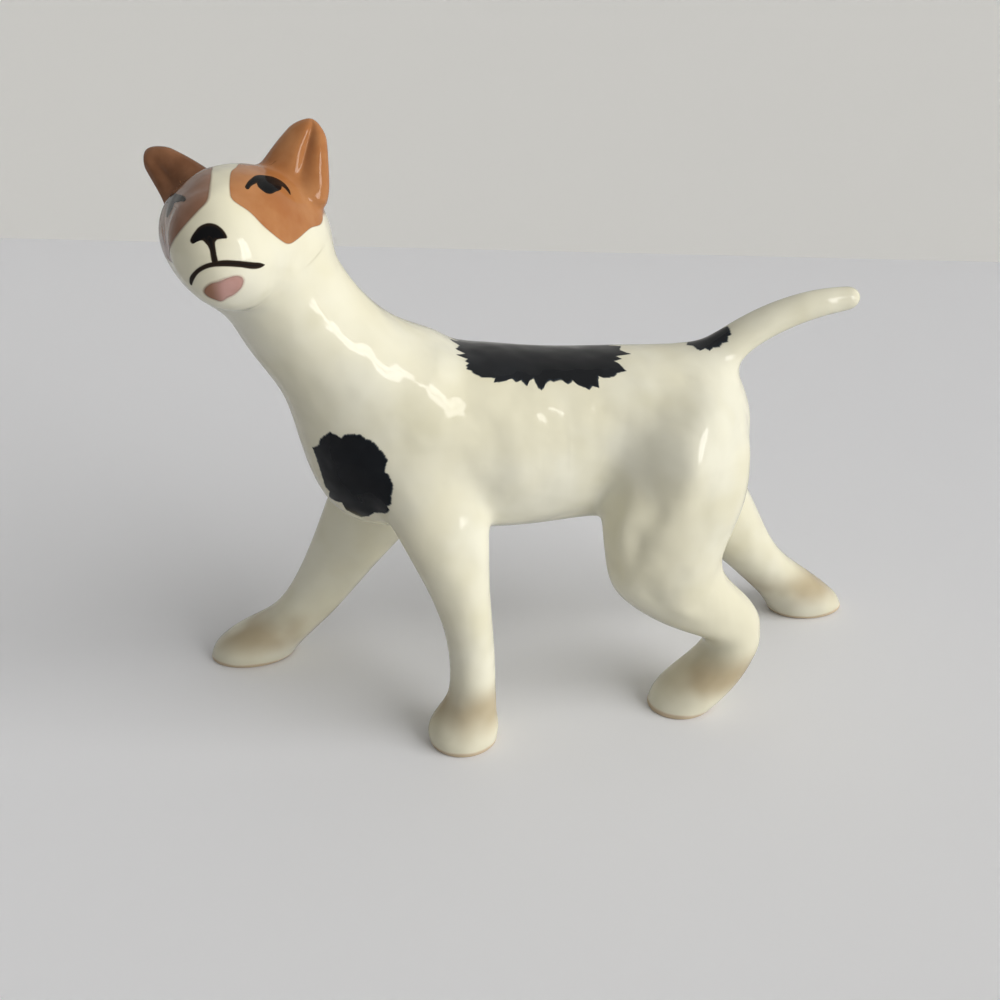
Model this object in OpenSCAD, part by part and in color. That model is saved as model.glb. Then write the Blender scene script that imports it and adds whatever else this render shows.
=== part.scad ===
/* [Body] */
// Length of the body from the breast to the rump
body_l = 88; // [82:1:94]
// Width of the body across the ribs
body_w = 34; // [31:0.5:37]
// Width of the body at the waist
waist_w = 28; // [26:0.5:31]
// Depth of the body from the back to the belly
body_d = 36; // [33:0.5:39]
// Height of the belly above the ground
belly_h = 41.5; // [38:0.5:45]

/* [Neck and head] */
// Thickness of the neck under the head
neck_t = 21; // [19:0.5:23]
// Height of the middle of the head above the back
neck_h = 27; // [24:0.5:30]
// Reach of the middle of the head ahead of the breast
neck_reach = 11; // [8:0.5:14]
// Sideways lean of the neck to the left
neck_lean = 7; // [4:0.5:9]
// Width of the head across the cheeks
head_w = 26.5; // [25:0.5:28]
// Height of the head from the crown to the jaw
head_d = 25; // [24:0.5:27]
// Length of the head from the back of the skull to the nose
head_l = 33; // [31:0.5:35]
// Turn of the head to the left, in degrees
head_turn = 74; // [64:1:80]
// Lift of the nose, in degrees
head_lift = 26; // [20:1:30]
// Tilt of the head, in degrees
head_tilt = 13; // [8:1:16]

/* [Ears] */
// Height of an ear from its root to its tip
ear_h = 16; // [15:0.5:18]
// Breadth of an ear at its root
ear_w = 16; // [14:0.5:17]
// Thickness of an ear at its root
ear_t = 8; // [7:0.5:9]
// Depth of the hollow in the front of an ear
ear_hollow = 1.8; // [1:0.1:2]

/* [Legs] */
// Thickness of a leg above the foot
leg_t = 9.6; // [8.8:0.1:10.4]
// Width of a foot
foot_w = 13; // [12:0.5:14]
// Spacing of the front feet across the body
front_track = 38.5; // [36:0.5:41]
// Spacing of the hind feet across the body
hind_track = 31.5; // [30:0.5:34]
// Step of the right front foot ahead of the left one
front_step = 44; // [40:0.5:47]
// Step of the right hind foot behind the left one
hind_step = 43; // [39:0.5:46]

/* [Tail] */
// Length of the tail
tail_l = 39; // [36:0.5:42]
// Thickness of the tail halfway along
tail_t = 6.4; // [5.8:0.1:7]
// Rise of the tail above the level, in degrees
tail_rise = 25; // [20:1:32]

/* [Casting] */
// Wall of the hollow body and head
wall = 3; // [2.6:0.1:3.4]
// Width of the tenon that joins a leg to the body
tenon_d = 4.6; // [4:0.1:5]
// Width of the tenon that joins the tail to the body
tail_tenon_d = 3.4; // [3:0.1:3.8]
// Width of the collar that joins the head to the neck
collar_d = 9; // [8:0.5:10]
// Width of the air passage from the head to the body
passage_d = 4.6; // [4:0.2:5.4]
// Room for slip around a tenon or the collar
slip_gap = 0.1; // [0.05:0.05:0.2]
// Width of the vent under the belly
vent_d = 3; // [2.6:0.1:3.4]

/* [Paint] */
// Thickness of a coat of underglaze paint
paint_t = 0.25; // [0.2:0.05:0.3]
// Length of the black patch on the back
back_patch_l = 34; // [30:0.5:36]
// Breadth of the black patch on the back
back_patch_w = 20; // [17:0.5:22]
// Height of the black patch on the chest
chest_patch_h = 19; // [17:0.5:21]
// Width of the black patch on the chest
chest_patch_w = 17; // [15:0.5:18]
// Length of the black patch at the root of the tail
tail_patch_l = 8.5; // [7:0.5:10]
// Width of the white blaze between the eyes
blaze_w = 2.8; // [2:0.2:4]

/* [Hidden] */
ivory = [0.93, 0.9, 0.8];
tan_brown = [0.75, 0.42, 0.22];
black = [0.08, 0.08, 0.09];
mauve = [0.62, 0.42, 0.42];

// Heights and places that the pieces share
back_h = belly_h + body_d;
hip_h = belly_h + body_d / 2;
rump_x = 0.43 * body_l;
head_at = [rump_x - body_l - neck_reach, -neck_lean, back_h + neck_h];
round_sides = 48;

// A swept form is a list of rows along its path, the lengths of its round ends counted in rows,
// and its swellings. A row is a point, a half depth and a half width. A swelling is a row, a
// turn around the path, a spread in rows, a spread in degrees and a height.

// Body rows from the rump to the breast: place along the body, height of the middle, half depth,
// and half widths taken from the ribs and from the waist
trunk_shares = [
    [0.01, 0.53, 0.4, 0.35, 0],
    [0.15, 0.52, 0.44, 0.41, 0],
    [0.3, 0.5, 0.485, 0, 0.52],
    [0.455, 0.495, 0.495, 0, 0.56],
    [0.61, 0.515, 0.51, 0.5, 0],
    [0.76, 0.58, 0.55, 0.515, 0],
    [0.885, 0.76, 0.495, 0.455, 0]];
// Neck rows from the last body row to the middle of the head: share of the reach, share of the
// rise, half depth and half width
neck_shares = [
    [0.36, 0.29, 0.65, 0.6],
    [0.6, 0.57, 0.535, 0.525],
    [0.79, 0.84, 0.49, 0.495]];
// Head rows from the back of the skull to the nose: place along the head, height of the middle,
// half height and half width
skull_shares = [
    [-0.43, 0.02, 0.34, 0.4],
    [-0.33, 0.02, 0.43, 0.51],
    [-0.18, 0, 0.49, 0.545],
    [0, -0.03, 0.5, 0.49],
    [0.15, -0.09, 0.47, 0.42],
    [0.29, -0.19, 0.41, 0.345],
    [0.43, -0.26, 0.36, 0.3],
    [0.54, -0.3, 0.29, 0.26]];
// Ear rows from the root to the tip: place ahead, outward and up, half thickness, half breadth
ear_shares = [
    [-0.2, 0.62, 0.2, 0.44, 0.38],
    [-0.2, 0.74, 0.44, 0.45, 0.42],
    [-0.18, 0.9, 0.68, 0.38, 0.34],
    [-0.17, 1.07, 0.92, 0.28, 0.23],
    [-0.16, 1.17, 1.08, 0.2, 0.13]];
// Tail rows from inside the rump to the tip: place along the rise, place above it, half thickness
tail_shares = [
    [-0.12, -0.12, 0.76],
    [0.02, -0.02, 0.68],
    [0.17, 0.08, 0.6],
    [0.34, 0.135, 0.54],
    [0.55, 0.15, 0.5],
    [0.78, 0.12, 0.45],
    [0.95, 0.06, 0.38],
    [1.02, 0.035, 0.32]];
// Level slices of a leg from the sole up: height, offsets along and across from the line between
// foot and hip, all as shares of the hip height, then half length and half width
front_left_shares = [
    [0, 0, 0, 0.72, 0.5],
    [0.05, 0.003, 0, 0.8, 0.53],
    [0.1, 0.02, 0, 0.66, 0.46],
    [0.15, 0.043, 0, 0.54, 0.39],
    [0.21, 0.056, 0, 0.48, 0.37],
    [0.4, 0.065, 0.03, 0.48, 0.37],
    [0.6, 0.04, 0.05, 0.61, 0.42],
    [0.8, 0.01, 0.06, 0.94, 0.48],
    [1, -0.01, 0.02, 1.04, 0.48],
    [1.1, -0.01, 0, 0.84, 0.42]];
front_right_shares = [
    [0, 0, 0, 0.98, 0.48],
    [0.05, -0.012, 0, 1.06, 0.52],
    [0.1, 0, 0, 1.06, 0.5],
    [0.15, 0.03, 0, 0.98, 0.45],
    [0.21, 0.09, 0, 0.72, 0.4],
    [0.4, 0.095, 0.02, 0.86, 0.4],
    [0.62, 0.095, 0.04, 1.24, 0.46],
    [0.82, 0.055, 0.04, 1.38, 0.48],
    [1, 0, 0.02, 1.1, 0.48],
    [1.1, -0.05, 0, 0.84, 0.42]];
hind_left_shares = [
    [0, 0, 0, 0.72, 0.48],
    [0.05, 0.035, 0, 0.88, 0.52],
    [0.11, 0.09, 0, 0.9, 0.47],
    [0.18, 0.155, 0, 0.7, 0.44],
    [0.24, 0.19, 0, 0.6, 0.44],
    [0.295, 0.17, 0, 0.7, 0.46],
    [0.34, 0.1, 0, 1.1, 0.5],
    [0.41, 0.02, 0, 1.3, 0.54],
    [0.5, -0.08, 0.01, 1.28, 0.6],
    [0.62, -0.115, 0.03, 1.22, 0.66],
    [0.8, -0.09, 0.05, 1.54, 0.68],
    [0.96, -0.05, 0.03, 1.36, 0.6],
    [1.08, -0.03, -0.03, 1, 0.42]];
hind_right_shares = [
    [0, 0, 0, 0.96, 0.48],
    [0.05, 0.01, 0, 0.98, 0.52],
    [0.1, 0, 0, 0.93, 0.5],
    [0.17, -0.025, 0, 0.88, 0.45],
    [0.27, -0.07, 0, 0.78, 0.42],
    [0.37, -0.095, 0, 0.86, 0.44],
    [0.48, -0.105, 0.01, 1.06, 0.5],
    [0.62, -0.12, 0.03, 1.3, 0.6],
    [0.8, -0.1, 0.05, 1.42, 0.66],
    [0.96, -0.05, 0.03, 1.34, 0.6],
    [1.08, -0.03, -0.03, 1, 0.42]];

function row(rows, i) =
    i < 0 ? 2 * rows[0] - rows[1]
    : i >= len(rows) ? 2 * rows[len(rows) - 1] - rows[len(rows) - 2]
    : rows[i];
// A cubic spline that runs smoothly past the rows
function spline(rows, u) =
    let (i = max(0, min(len(rows) - 2, floor(u))), t = u - i, s = 1 - t)
    (s^3 * row(rows, i - 1) + (3 * t^3 - 6 * t^2 + 4) * row(rows, i)
        + (3 * s^3 - 6 * s^2 + 4) * row(rows, i + 1) + t^3 * row(rows, i + 2)) / 6;
function place(rows, u) = let (r = spline(rows, u)) [r.x, r.y, r.z];
function unit(v) = v / norm(v);
function heading(rows, u) = unit(place(rows, u + 0.01) - place(rows, u - 0.01));
function round_end(s, c) = s >= c ? 1 : sqrt(max(0, 1 - pow(1 - s / c, 2)));
function turn_between(a, b) = let (d = abs(a - b) % 360) min(d, 360 - d);
function total(list) = [for (x = list) 1] * list;
function swell(bumps, u, v) = len(bumps) == 0 ? 0 : total([for (b = bumps)
    b[4] * exp(-pow((u - b[0]) / b[2], 2) - pow(turn_between(v, b[1]) / b[3], 2))]);
// A point on a swept form, grown outward by the given length
function skin(form, grow, u, v) =
    let (rows = form[0], r = spline(rows, u), t = heading(rows, u), s = unit([0, 1, 0] - t * t.y),
        a = round_end(u, form[1][0]), b = round_end(len(rows) - 1 - u, form[1][1]),
        g = swell(form[2], u, v) + grow)
    place(rows, u) + t * grow * (sqrt(1 - b * b) - sqrt(1 - a * a))
        + (cross(s, t) * (r[3] + g) * cos(v) + s * (r[4] + g) * sin(v)) * a * b;
function skin_points(form, grow, rings, sides, last) =
    [for (i = [0:rings]) for (j = [0:sides - 1])
        skin(form, grow, 0.01 + (last - 0.01) * (1 - cos(180 * i / rings)) / 2, 360 * j / sides)];
// A point on a leg, grown outward by the given length
function slice(rows, grow, u, v) =
    let (r = spline(rows, u)) [r.x + (r[3] + grow) * cos(v), r.y + (r[4] + grow) * sin(v), r.z];
leg_sides = 24;
function leg_rings(rows) = 3 * (len(rows) - 1);
function leg_points(rows, grow) =
    [for (i = [0:leg_rings(rows)]) for (j = [0:leg_sides - 1])
        slice(rows, grow, i / 3, 360 * j / leg_sides)];

// Joins rings of points into one closed form
module loft(points, rings, sides) {
    walls = [for (i = [0:rings - 1]) for (j = [0:sides - 1])
        let (a = i * sides + j, b = i * sides + (j + 1) % sides)
        each [[a, a + sides, b + sides], [a, b + sides, b]]];
    first = [for (j = [0:sides - 1]) j];
    last = [for (j = [sides - 1:-1:0]) rings * sides + j];
    polyhedron(points, concat([first], walls, [last]));
}
module sweep(form, grow, rings, sides, last)
    loft(skin_points(form, grow, rings, sides, last), rings, sides);
// Stands the children's Z axis along a direction at a point
module along(at, d) translate(at) rotate([0, acos(d.z), atan2(d.y, d.x)]) children();

// Trunk with the neck
breast_swell = 0.12 * body_d;
throat_dip = -0.08 * body_d;
trunk_rows = let (
    body = [for (r = trunk_shares) [rump_x - r[0] * body_l, 0, belly_h + r[1] * body_d,
        r[2] * body_d, r[3] * body_w + r[4] * waist_w]],
    b = body[len(body) - 1])
    concat(body, [for (r = neck_shares) [b.x + r[0] * (head_at.x - b.x), r[0] * head_at.y,
        b.z + r[1] * (head_at.z - b.z), r[2] * neck_t, r[3] * neck_t]]);
trunk = [trunk_rows, [1.1, 0], [[5.55, 180, 0.6, 50, breast_swell], [7, 180, 0.8, 60, throat_dip]]];
trunk_last = len(trunk_rows) - 1;
neck_top = trunk_last - 1.15;
neck_d = heading(trunk_rows, trunk_last - 0.8);
module trunk_form(grow = 0) sweep(trunk, grow, 36, 32, trunk_last);
module trunk_cavity() sweep(trunk, -wall, 28, 20, neck_top);

// Head, in its own frame with the nose along X and the left side along Y
skull_rows = [for (r = skull_shares) [r[0] * head_l, 0, r[1] * head_d, r[2] * head_d, r[3] * head_w]];
right_cheek_dip = -0.035 * head_w;
skull = [skull_rows, [1.2, 1.6], [[4.8, 300, 1.4, 45, right_cheek_dip]]];
skull_last = len(skull_rows) - 1.01;
module skull_form(grow = 0) sweep(skull, grow, 30, 32, skull_last);
module skull_cavity() sweep(skull, -wall, 20, 20, skull_last);
head_frame = let (t = 180 + head_turn, l = -head_lift, r = head_tilt)
    [[cos(t), -sin(t), 0], [sin(t), cos(t), 0], [0, 0, 1]]
    * [[cos(l), 0, sin(l)], [0, 1, 0], [-sin(l), 0, cos(l)]]
    * [[1, 0, 0], [0, cos(r), -sin(r)], [0, sin(r), cos(r)]];
module in_head()
    translate(head_at) rotate([0, 0, 180 + head_turn]) rotate([0, -head_lift, 0])
        rotate([head_tilt, 0, 0]) children();
// The collar stands on the neck's solid top and reaches into the head's wall
collar_l = norm(head_at - place(trunk_rows, neck_top)) - head_d / 2 + wall / 2;
module collar(d, extra = 0)
    along(place(trunk_rows, neck_top) - neck_d * extra, neck_d)
        cylinder(d = d, h = collar_l + 2 * extra, $fn = round_sides);

// Ears, set by hand: the right one sits a little higher and closer in, with a narrower root
right_ear_raise = 0.06 * ear_h;
right_ear_tuck = 0.09 * ear_h;
right_ear_pinch = -0.13 * ear_w;
function ear(side) =
    let (raise = side < 0 ? right_ear_raise : 0, tuck = side < 0 ? right_ear_tuck : 0)
    [[for (r = ear_shares) [r[0] * ear_h, side * (r[1] * head_w / 2 - tuck), r[2] * ear_h + raise,
        r[3] * ear_t, r[4] * ear_w]], [0.7, 0.9],
        [[2, 0, 1.3, 50, -ear_hollow], [1.5, 270, 1.9, 60, side < 0 ? right_ear_pinch : 0]]];
module ear_form(side) sweep(ear(side), 0, 16, 24, len(ear_shares) - 1.01);

// Legs: places along the body and out from its middle
front_left_foot = [-0.295 * body_l, front_track / 2];
hind_left_foot = [0.25 * body_l, hind_track / 2];
shoulder_at = [-0.34 * body_l, 0.3 * body_w];
hip_at = [0.27 * body_l, 0.28 * body_w];
function leg_rows(shares, foot, side, top) = [for (r = shares) [
    foot.x + r[0] * (top.x - foot.x) + r[1] * hip_h,
    side * (foot.y + r[0] * (top.y - foot.y) + r[2] * hip_h),
    r[0] * hip_h, r[3] * leg_t, r[4] * foot_w]];
front_left_rows = leg_rows(front_left_shares, front_left_foot, -1, shoulder_at);
front_right_rows = leg_rows(front_right_shares, front_left_foot - [front_step, 0], 1, shoulder_at);
hind_left_rows = leg_rows(hind_left_shares, hind_left_foot, -1, hip_at);
hind_right_rows = leg_rows(hind_right_shares, hind_left_foot + [hind_step, 0], 1, hip_at);
module leg_form(rows, grow = 0) loft(leg_points(rows, grow), leg_rings(rows), leg_sides);
// A tenon runs level from inside the leg, through the wall of the body
tenon_row = 2.8;
tenon_reach = 0.3 * waist_w;
module leg_tenon(rows, d, extra = 0) {
    p = place(rows, len(rows) - tenon_row);
    side = sign(p.y);
    out = abs(p.y) + foot_w / 8;
    translate([p.x, side * (tenon_reach - extra), p.z]) rotate([-90 * side, 0, 0])
        cylinder(d = d, h = out - tenon_reach + extra, $fn = round_sides);
}

// Tail
tail_root = [rump_x - 0.17 * body_l, 0, back_h - 0.3 * body_d];
tail_rows = [for (r = tail_shares) [
    tail_root.x + tail_l * (r[0] * cos(tail_rise) - r[1] * sin(tail_rise)), 0,
    tail_root.z + tail_l * (r[0] * sin(tail_rise) + r[1] * cos(tail_rise)),
    r[2] * tail_t, r[2] * tail_t]];
tail_form_rows = [tail_rows, [0, 0.8], []];
module tail_form(grow = 0) sweep(tail_form_rows, grow, 20, 20, len(tail_rows) - 1.01);
module tail_tenon(d, extra = 0) {
    top = place(tail_rows, 2.6);
    low = place(tail_rows, 0.9);
    way = unit(top - low);
    along(low - way * extra, way) cylinder(d = d, h = norm(top - low) + extra, $fn = round_sides);
}

// The whole stands on the ground with its middle over the origin
every_point = concat(leg_points(front_left_rows, 0), leg_points(front_right_rows, 0),
    leg_points(hind_left_rows, 0), leg_points(hind_right_rows, 0),
    skin_points(tail_form_rows, 0, 20, 20, len(tail_rows) - 1.01),
    [for (q = skin_points(skull, paint_t, 30, 32, skull_last)) head_at + head_frame * q]);
function middle(k) = let (c = [for (q = every_point) q[k]]) (min(c) + max(c)) / 2;
module placed() translate([-middle(0), -middle(1), 0]) children();

module torso() placed() color(ivory) difference() {
    trunk_form();
    trunk_cavity();
    in_head() skull_form();
    collar(collar_d + 2 * slip_gap, wall);
    for (rows = [front_left_rows, front_right_rows, hind_left_rows, hind_right_rows])
        leg_tenon(rows, tenon_d + 2 * slip_gap, slip_gap);
    tail_tenon(tail_tenon_d + 2 * slip_gap, slip_gap);
    translate([0, 0, belly_h - wall]) cylinder(d = vent_d, h = 3 * wall, $fn = round_sides);
}
module head() placed() color(ivory) difference() {
    union() {
        in_head() skull_form();
        collar(collar_d);
    }
    in_head() skull_cavity();
    collar(passage_d, wall);
}
module ear_casting(side) placed() color(tan_brown) in_head() difference() {
    ear_form(side);
    skull_form();
}
module ear_left() ear_casting(1);
module ear_right() ear_casting(-1);
module leg_casting(rows) placed() color(ivory) union() {
    difference() {
        leg_form(rows);
        trunk_form();
    }
    leg_tenon(rows, tenon_d);
}
module front_leg_left() leg_casting(front_left_rows);
module front_leg_right() leg_casting(front_right_rows);
module hind_leg_left() leg_casting(hind_left_rows);
module hind_leg_right() leg_casting(hind_right_rows);
module tail() placed() color(ivory) union() {
    difference() {
        tail_form();
        trunk_form();
    }
    tail_tenon(tail_tenon_d);
}

// Coats of paint, each a thin skin over the casting below it
function squarish(x) = sign(x) * pow(abs(x), 0.7);
// A patch outline with brush marks around its edge
function ragged(l, w, marks, depth_share) = [for (i = [0:2 * marks - 1])
    let (t = 180 * i / marks, k = 1 - depth_share * (i % 2) * (1 + sin(137 * i) / 2))
    [l / 2 * k * squarish(cos(t)), w / 2 * k * squarish(sin(t))]];
module back_patch() placed() color(black) difference() {
    intersection() {
        trunk_form(paint_t);
        translate([rump_x - 0.52 * body_l, 0, hip_h]) linear_extrude(height = body_d)
            polygon(ragged(back_patch_l, back_patch_w, 26, 0.1));
    }
    trunk_form();
}
module chest_patch() placed() color(black) difference() {
    intersection() {
        union() {
            trunk_form(paint_t);
            leg_form(front_left_rows, paint_t);
        }
        translate([rump_x - 0.937 * body_l, -0.1 * body_w, hip_h]) rotate([90, 0, -20])
            linear_extrude(height = body_w) polygon(ragged(chest_patch_w, chest_patch_h, 20, 0.1));
    }
    trunk_form();
    leg_form(front_left_rows);
}
tail_patch_row = 2.4;
module tail_patch() placed() color(black) difference() {
    h = heading(tail_rows, tail_patch_row);
    intersection() {
        union() {
            trunk_form(paint_t);
            tail_form(paint_t);
        }
        along(place(tail_rows, tail_patch_row), [-h.z, 0, h.x]) linear_extrude(height = tail_l / 2)
            polygon(ragged(tail_patch_l, 0.8 * tail_patch_l, 10, 0.12));
    }
    trunk_form();
    tail_form();
}

// Outlines on the face, seen from the front: across to the left, and up, as shares of the head
blaze_mid = 0.08 * head_w;
mask_left_shares = [[0.155, 0.1], [0.2, 0.025], [0.26, -0.035], [0.34, -0.185], [0.375, -0.21],
    [0.415, -0.165], [0.525, 0.01], [0.6, 0.08], [0.6, 0.6]];
mask_right_shares = [[0.05, 0.08], [-0.04, -0.005], [-0.175, -0.08], [-0.26, -0.135], [-0.4, -0.18],
    [-0.6, 0], [-0.6, 0.6]];
eye_shares = [[0.215, 0.13], [0.23, 0.21], [0.26, 0.264], [0.31, 0.28], [0.36, 0.252], [0.41, 0.156],
    [0.375, 0.196], [0.35, 0.165], [0.31, 0.144], [0.275, 0.18], [0.25, 0.205], [0.235, 0.135]];
nose_shares = [[-0.098, -0.172], [-0.083, -0.12], [-0.034, -0.092], [0.03, -0.08], [0.09, -0.116],
    [0.113, -0.184], [0.075, -0.208], [0.045, -0.228], [0.038, -0.31], [0, -0.31], [-0.005, -0.24],
    [-0.045, -0.21]];
mouth_shares = [[-0.19, -0.408], [-0.136, -0.368], [-0.083, -0.344], [0.019, -0.334], [0.12, -0.348],
    [0.22, -0.364], [0.26, -0.366]];
lip_shares = [0.02, -0.472, 0.25, 0.14];
mouth_t = 0.05 * head_d;
function on_face(shares) = [for (q = shares) [q.x * head_w, q.y * head_d]];
function ribbon(points, t) = concat(
    [for (q = points) q + [0, t / 2]],
    [for (i = [len(points) - 1:-1:0]) points[i] - [0, t / 2]]);
// Paint on the part of the head that an outline covers from the front, over an undercoat if any,
// less the children
module face_coat(points, tint, behind, under = 0) placed() color(tint) in_head() difference() {
    intersection() {
        skull_form(under + paint_t);
        rotate([90, 0, 90]) translate([0, 0, -behind]) linear_extrude(height = head_l) polygon(points);
    }
    skull_form(under);
    children();
}
module mask(side, shares)
    face_coat(concat([for (y = [0.6, 0.2]) [blaze_mid + side * blaze_w / 2, y * head_d]],
        on_face(shares)), tan_brown, head_l / 4)
        ear_form(side);
module mask_left() mask(1, mask_left_shares);
module mask_right() mask(-1, mask_right_shares);
module eye_left() face_coat(on_face(eye_shares), black, 0, paint_t);
// The right eye is painted a little closer to the nose
right_eye_shares = [for (q = eye_shares) [0.08 - 1.15 * q.x, q.y]];
module eye_right() face_coat(on_face(right_eye_shares), black, 0, paint_t);
module nose() face_coat(on_face(nose_shares), black, -head_l / 6);
module mouth_line() face_coat(ribbon(on_face(mouth_shares), mouth_t), black, -head_l / 6);
module lip_spot() face_coat(on_face([for (i = [0:23])
    [lip_shares[0] + lip_shares[2] / 2 * cos(15 * i), lip_shares[1] + lip_shares[3] / 2 * sin(15 * i)]]),
    mauve, -head_l / 6);

torso();
head();
ear_left();
ear_right();
front_leg_left();
front_leg_right();
hind_leg_left();
hind_leg_right();
tail();
back_patch();
chest_patch();
tail_patch();
mask_left();
mask_right();
eye_left();
eye_right();
nose();
mouth_line();
lip_spot();
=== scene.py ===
"""Looks of the glazed ceramic dog figurine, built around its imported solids."""
import logging
import math
from collections.abc import Callable
from dataclasses import dataclass, field
from enum import Enum

import bpy
import numpy as np
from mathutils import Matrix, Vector


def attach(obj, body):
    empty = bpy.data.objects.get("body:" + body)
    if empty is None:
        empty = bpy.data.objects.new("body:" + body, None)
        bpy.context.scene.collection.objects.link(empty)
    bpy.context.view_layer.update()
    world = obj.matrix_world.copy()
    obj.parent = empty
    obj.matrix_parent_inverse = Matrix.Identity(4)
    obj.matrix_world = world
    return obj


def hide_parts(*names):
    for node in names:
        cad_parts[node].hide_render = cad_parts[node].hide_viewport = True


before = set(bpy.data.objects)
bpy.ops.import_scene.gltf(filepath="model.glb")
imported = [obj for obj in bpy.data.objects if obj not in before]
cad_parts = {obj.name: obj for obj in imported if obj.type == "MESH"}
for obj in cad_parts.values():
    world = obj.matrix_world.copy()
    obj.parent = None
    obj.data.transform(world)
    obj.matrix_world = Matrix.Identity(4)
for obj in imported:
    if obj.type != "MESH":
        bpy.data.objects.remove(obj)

Array = np.ndarray
LOG = logging.getLogger("dog")
MM = 0.001
POLE = 1e-4  # rows from an end at which the point that closes it is taken
LEAST_SHARE = 1e-8  # floor under a squared radius share
LEAST_SLOPE = 0.02  # floor under the slope that a distance is divided by
ON_SURFACE = 3e-4  # millimetres from the fused surface that count as on it
MOST_INWARD = 0.1  # longest way that a point is moved inward to the surface
HALVINGS = 8  # of the range in which the surface is looked for
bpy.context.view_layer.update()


@dataclass(frozen=True)
class Sizes:
    """Driving sizes of the figurine, in millimetres and degrees."""

    body_l: float = 88.0
    rump_share: float = 0.43
    body_w: float = 34.0
    waist_w: float = 28.0
    body_d: float = 36.0
    belly_h: float = 41.5
    neck_t: float = 21.0
    neck_h: float = 27.0
    neck_reach: float = 11.0
    neck_lean: float = 7.0
    head_w: float = 26.5
    head_d: float = 25.0
    head_l: float = 33.0
    head_turn: float = 74.0
    head_lift: float = 26.0
    head_tilt: float = 13.0
    ear_h: float = 16.0
    ear_w: float = 16.0
    ear_t: float = 8.0
    leg_t: float = 9.6
    foot_w: float = 13.0
    front_track: float = 38.5
    hind_track: float = 31.5
    front_step: float = 44.0
    hind_step: float = 43.0
    tail_l: float = 39.0
    tail_t: float = 6.4
    tail_rise: float = 25.0

    @property
    def back_h(self) -> float:
        """Height of the back."""
        return self.belly_h + self.body_d

    @property
    def hip_h(self) -> float:
        """Height of the hips and shoulders."""
        return self.belly_h + self.body_d / 2

    @property
    def rump_x(self) -> float:
        """Place of the rump along the body."""
        return self.rump_share * self.body_l

    @property
    def head_at(self) -> Array:
        """Middle of the head."""
        return np.array([self.rump_x - self.body_l - self.neck_reach,
                         -self.neck_lean, self.back_h + self.neck_h])


SIZES = Sizes()


def rotation(axis: int, degrees: float) -> Array:
    """Rotation matrix about one axis.

    Args:
        axis: 0, 1 or 2 for X, Y or Z.
        degrees: Turn, right-handed.

    Returns:
        A 3 by 3 matrix.
    """
    c, s = math.cos(math.radians(degrees)), math.sin(math.radians(degrees))
    a, b = (axis + 1) % 3, (axis + 2) % 3
    m = np.eye(3)
    m[a, a], m[a, b], m[b, a], m[b, b] = c, -s, s, c
    return m


def unit(v: Array) -> Array:
    """Vectors scaled to length one."""
    return v / np.maximum(np.linalg.norm(v, axis=-1, keepdims=True), 1e-12)


def dot(a: Array, b: Array) -> Array:
    """Row by row dot product."""
    return (a * b).sum(-1)


def lengths(points: Array) -> Array:
    """Length along a line of points, up to each of them."""
    return np.concatenate([[0], np.cumsum(np.linalg.norm(np.diff(points, axis=0), axis=1))])


def ease(x: Array) -> Array:
    """Smooth step from 0 to 1."""
    t = np.clip(x, 0, 1)
    return t * t * (3 - 2 * t)


@dataclass(frozen=True)
class Swell:
    """A Gaussian swelling of a form: its row, its turn and their spreads."""

    row: float
    turn: float
    row_spread: float
    turn_spread: float
    height: float


def swelling(swells: tuple[Swell, ...], u: Array, v: Array) -> Array:
    """Sum of the swellings at rows u and turns v.

    Args:
        swells: The swellings.
        u: Places along the form, in rows.
        v: Turns around the form, in radians.

    Returns:
        The height at each place.
    """
    total = np.zeros(np.broadcast(u, v).shape)
    for s in swells:
        away = np.abs((np.degrees(v) - s.turn + 180) % 360 - 180)
        total += s.height * np.exp(-((u - s.row) / s.row_spread) ** 2 - (away / s.turn_spread) ** 2)
    return total


def spline(rows: Array, u: Array) -> tuple[Array, Array, Array]:
    """Cubic B-spline that runs smoothly past the rows, its slope and its bend.

    Args:
        rows: One row of values per station.
        u: Places along it, in rows.

    Returns:
        Values, first and second derivatives, one row for each u.
    """
    last = len(rows) - 1
    padded = np.vstack([2 * rows[:1] - rows[1:2], rows, 2 * rows[-1:] - rows[-2:-1]])
    u = np.clip(u, 0, last)
    i = np.minimum(u.astype(int), last - 1)
    t = (u - i)[..., None]
    s = 1 - t
    p, q, r, w = padded[i], padded[i + 1], padded[i + 2], padded[i + 3]
    before, after = 3 * t**3 - 6 * t**2 + 4, 3 * s**3 - 6 * s**2 + 4
    value = (s**3 * p + before * q + after * r + t**3 * w) / 6
    slope = (-s**2 * p + (3 * t**2 - 4 * t) * q + (-3 * s**2 + 4 * s) * r + t**2 * w) / 2
    return value, slope, s * p + (3 * t - 2) * q + (1 - 3 * t) * r + t * w


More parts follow.
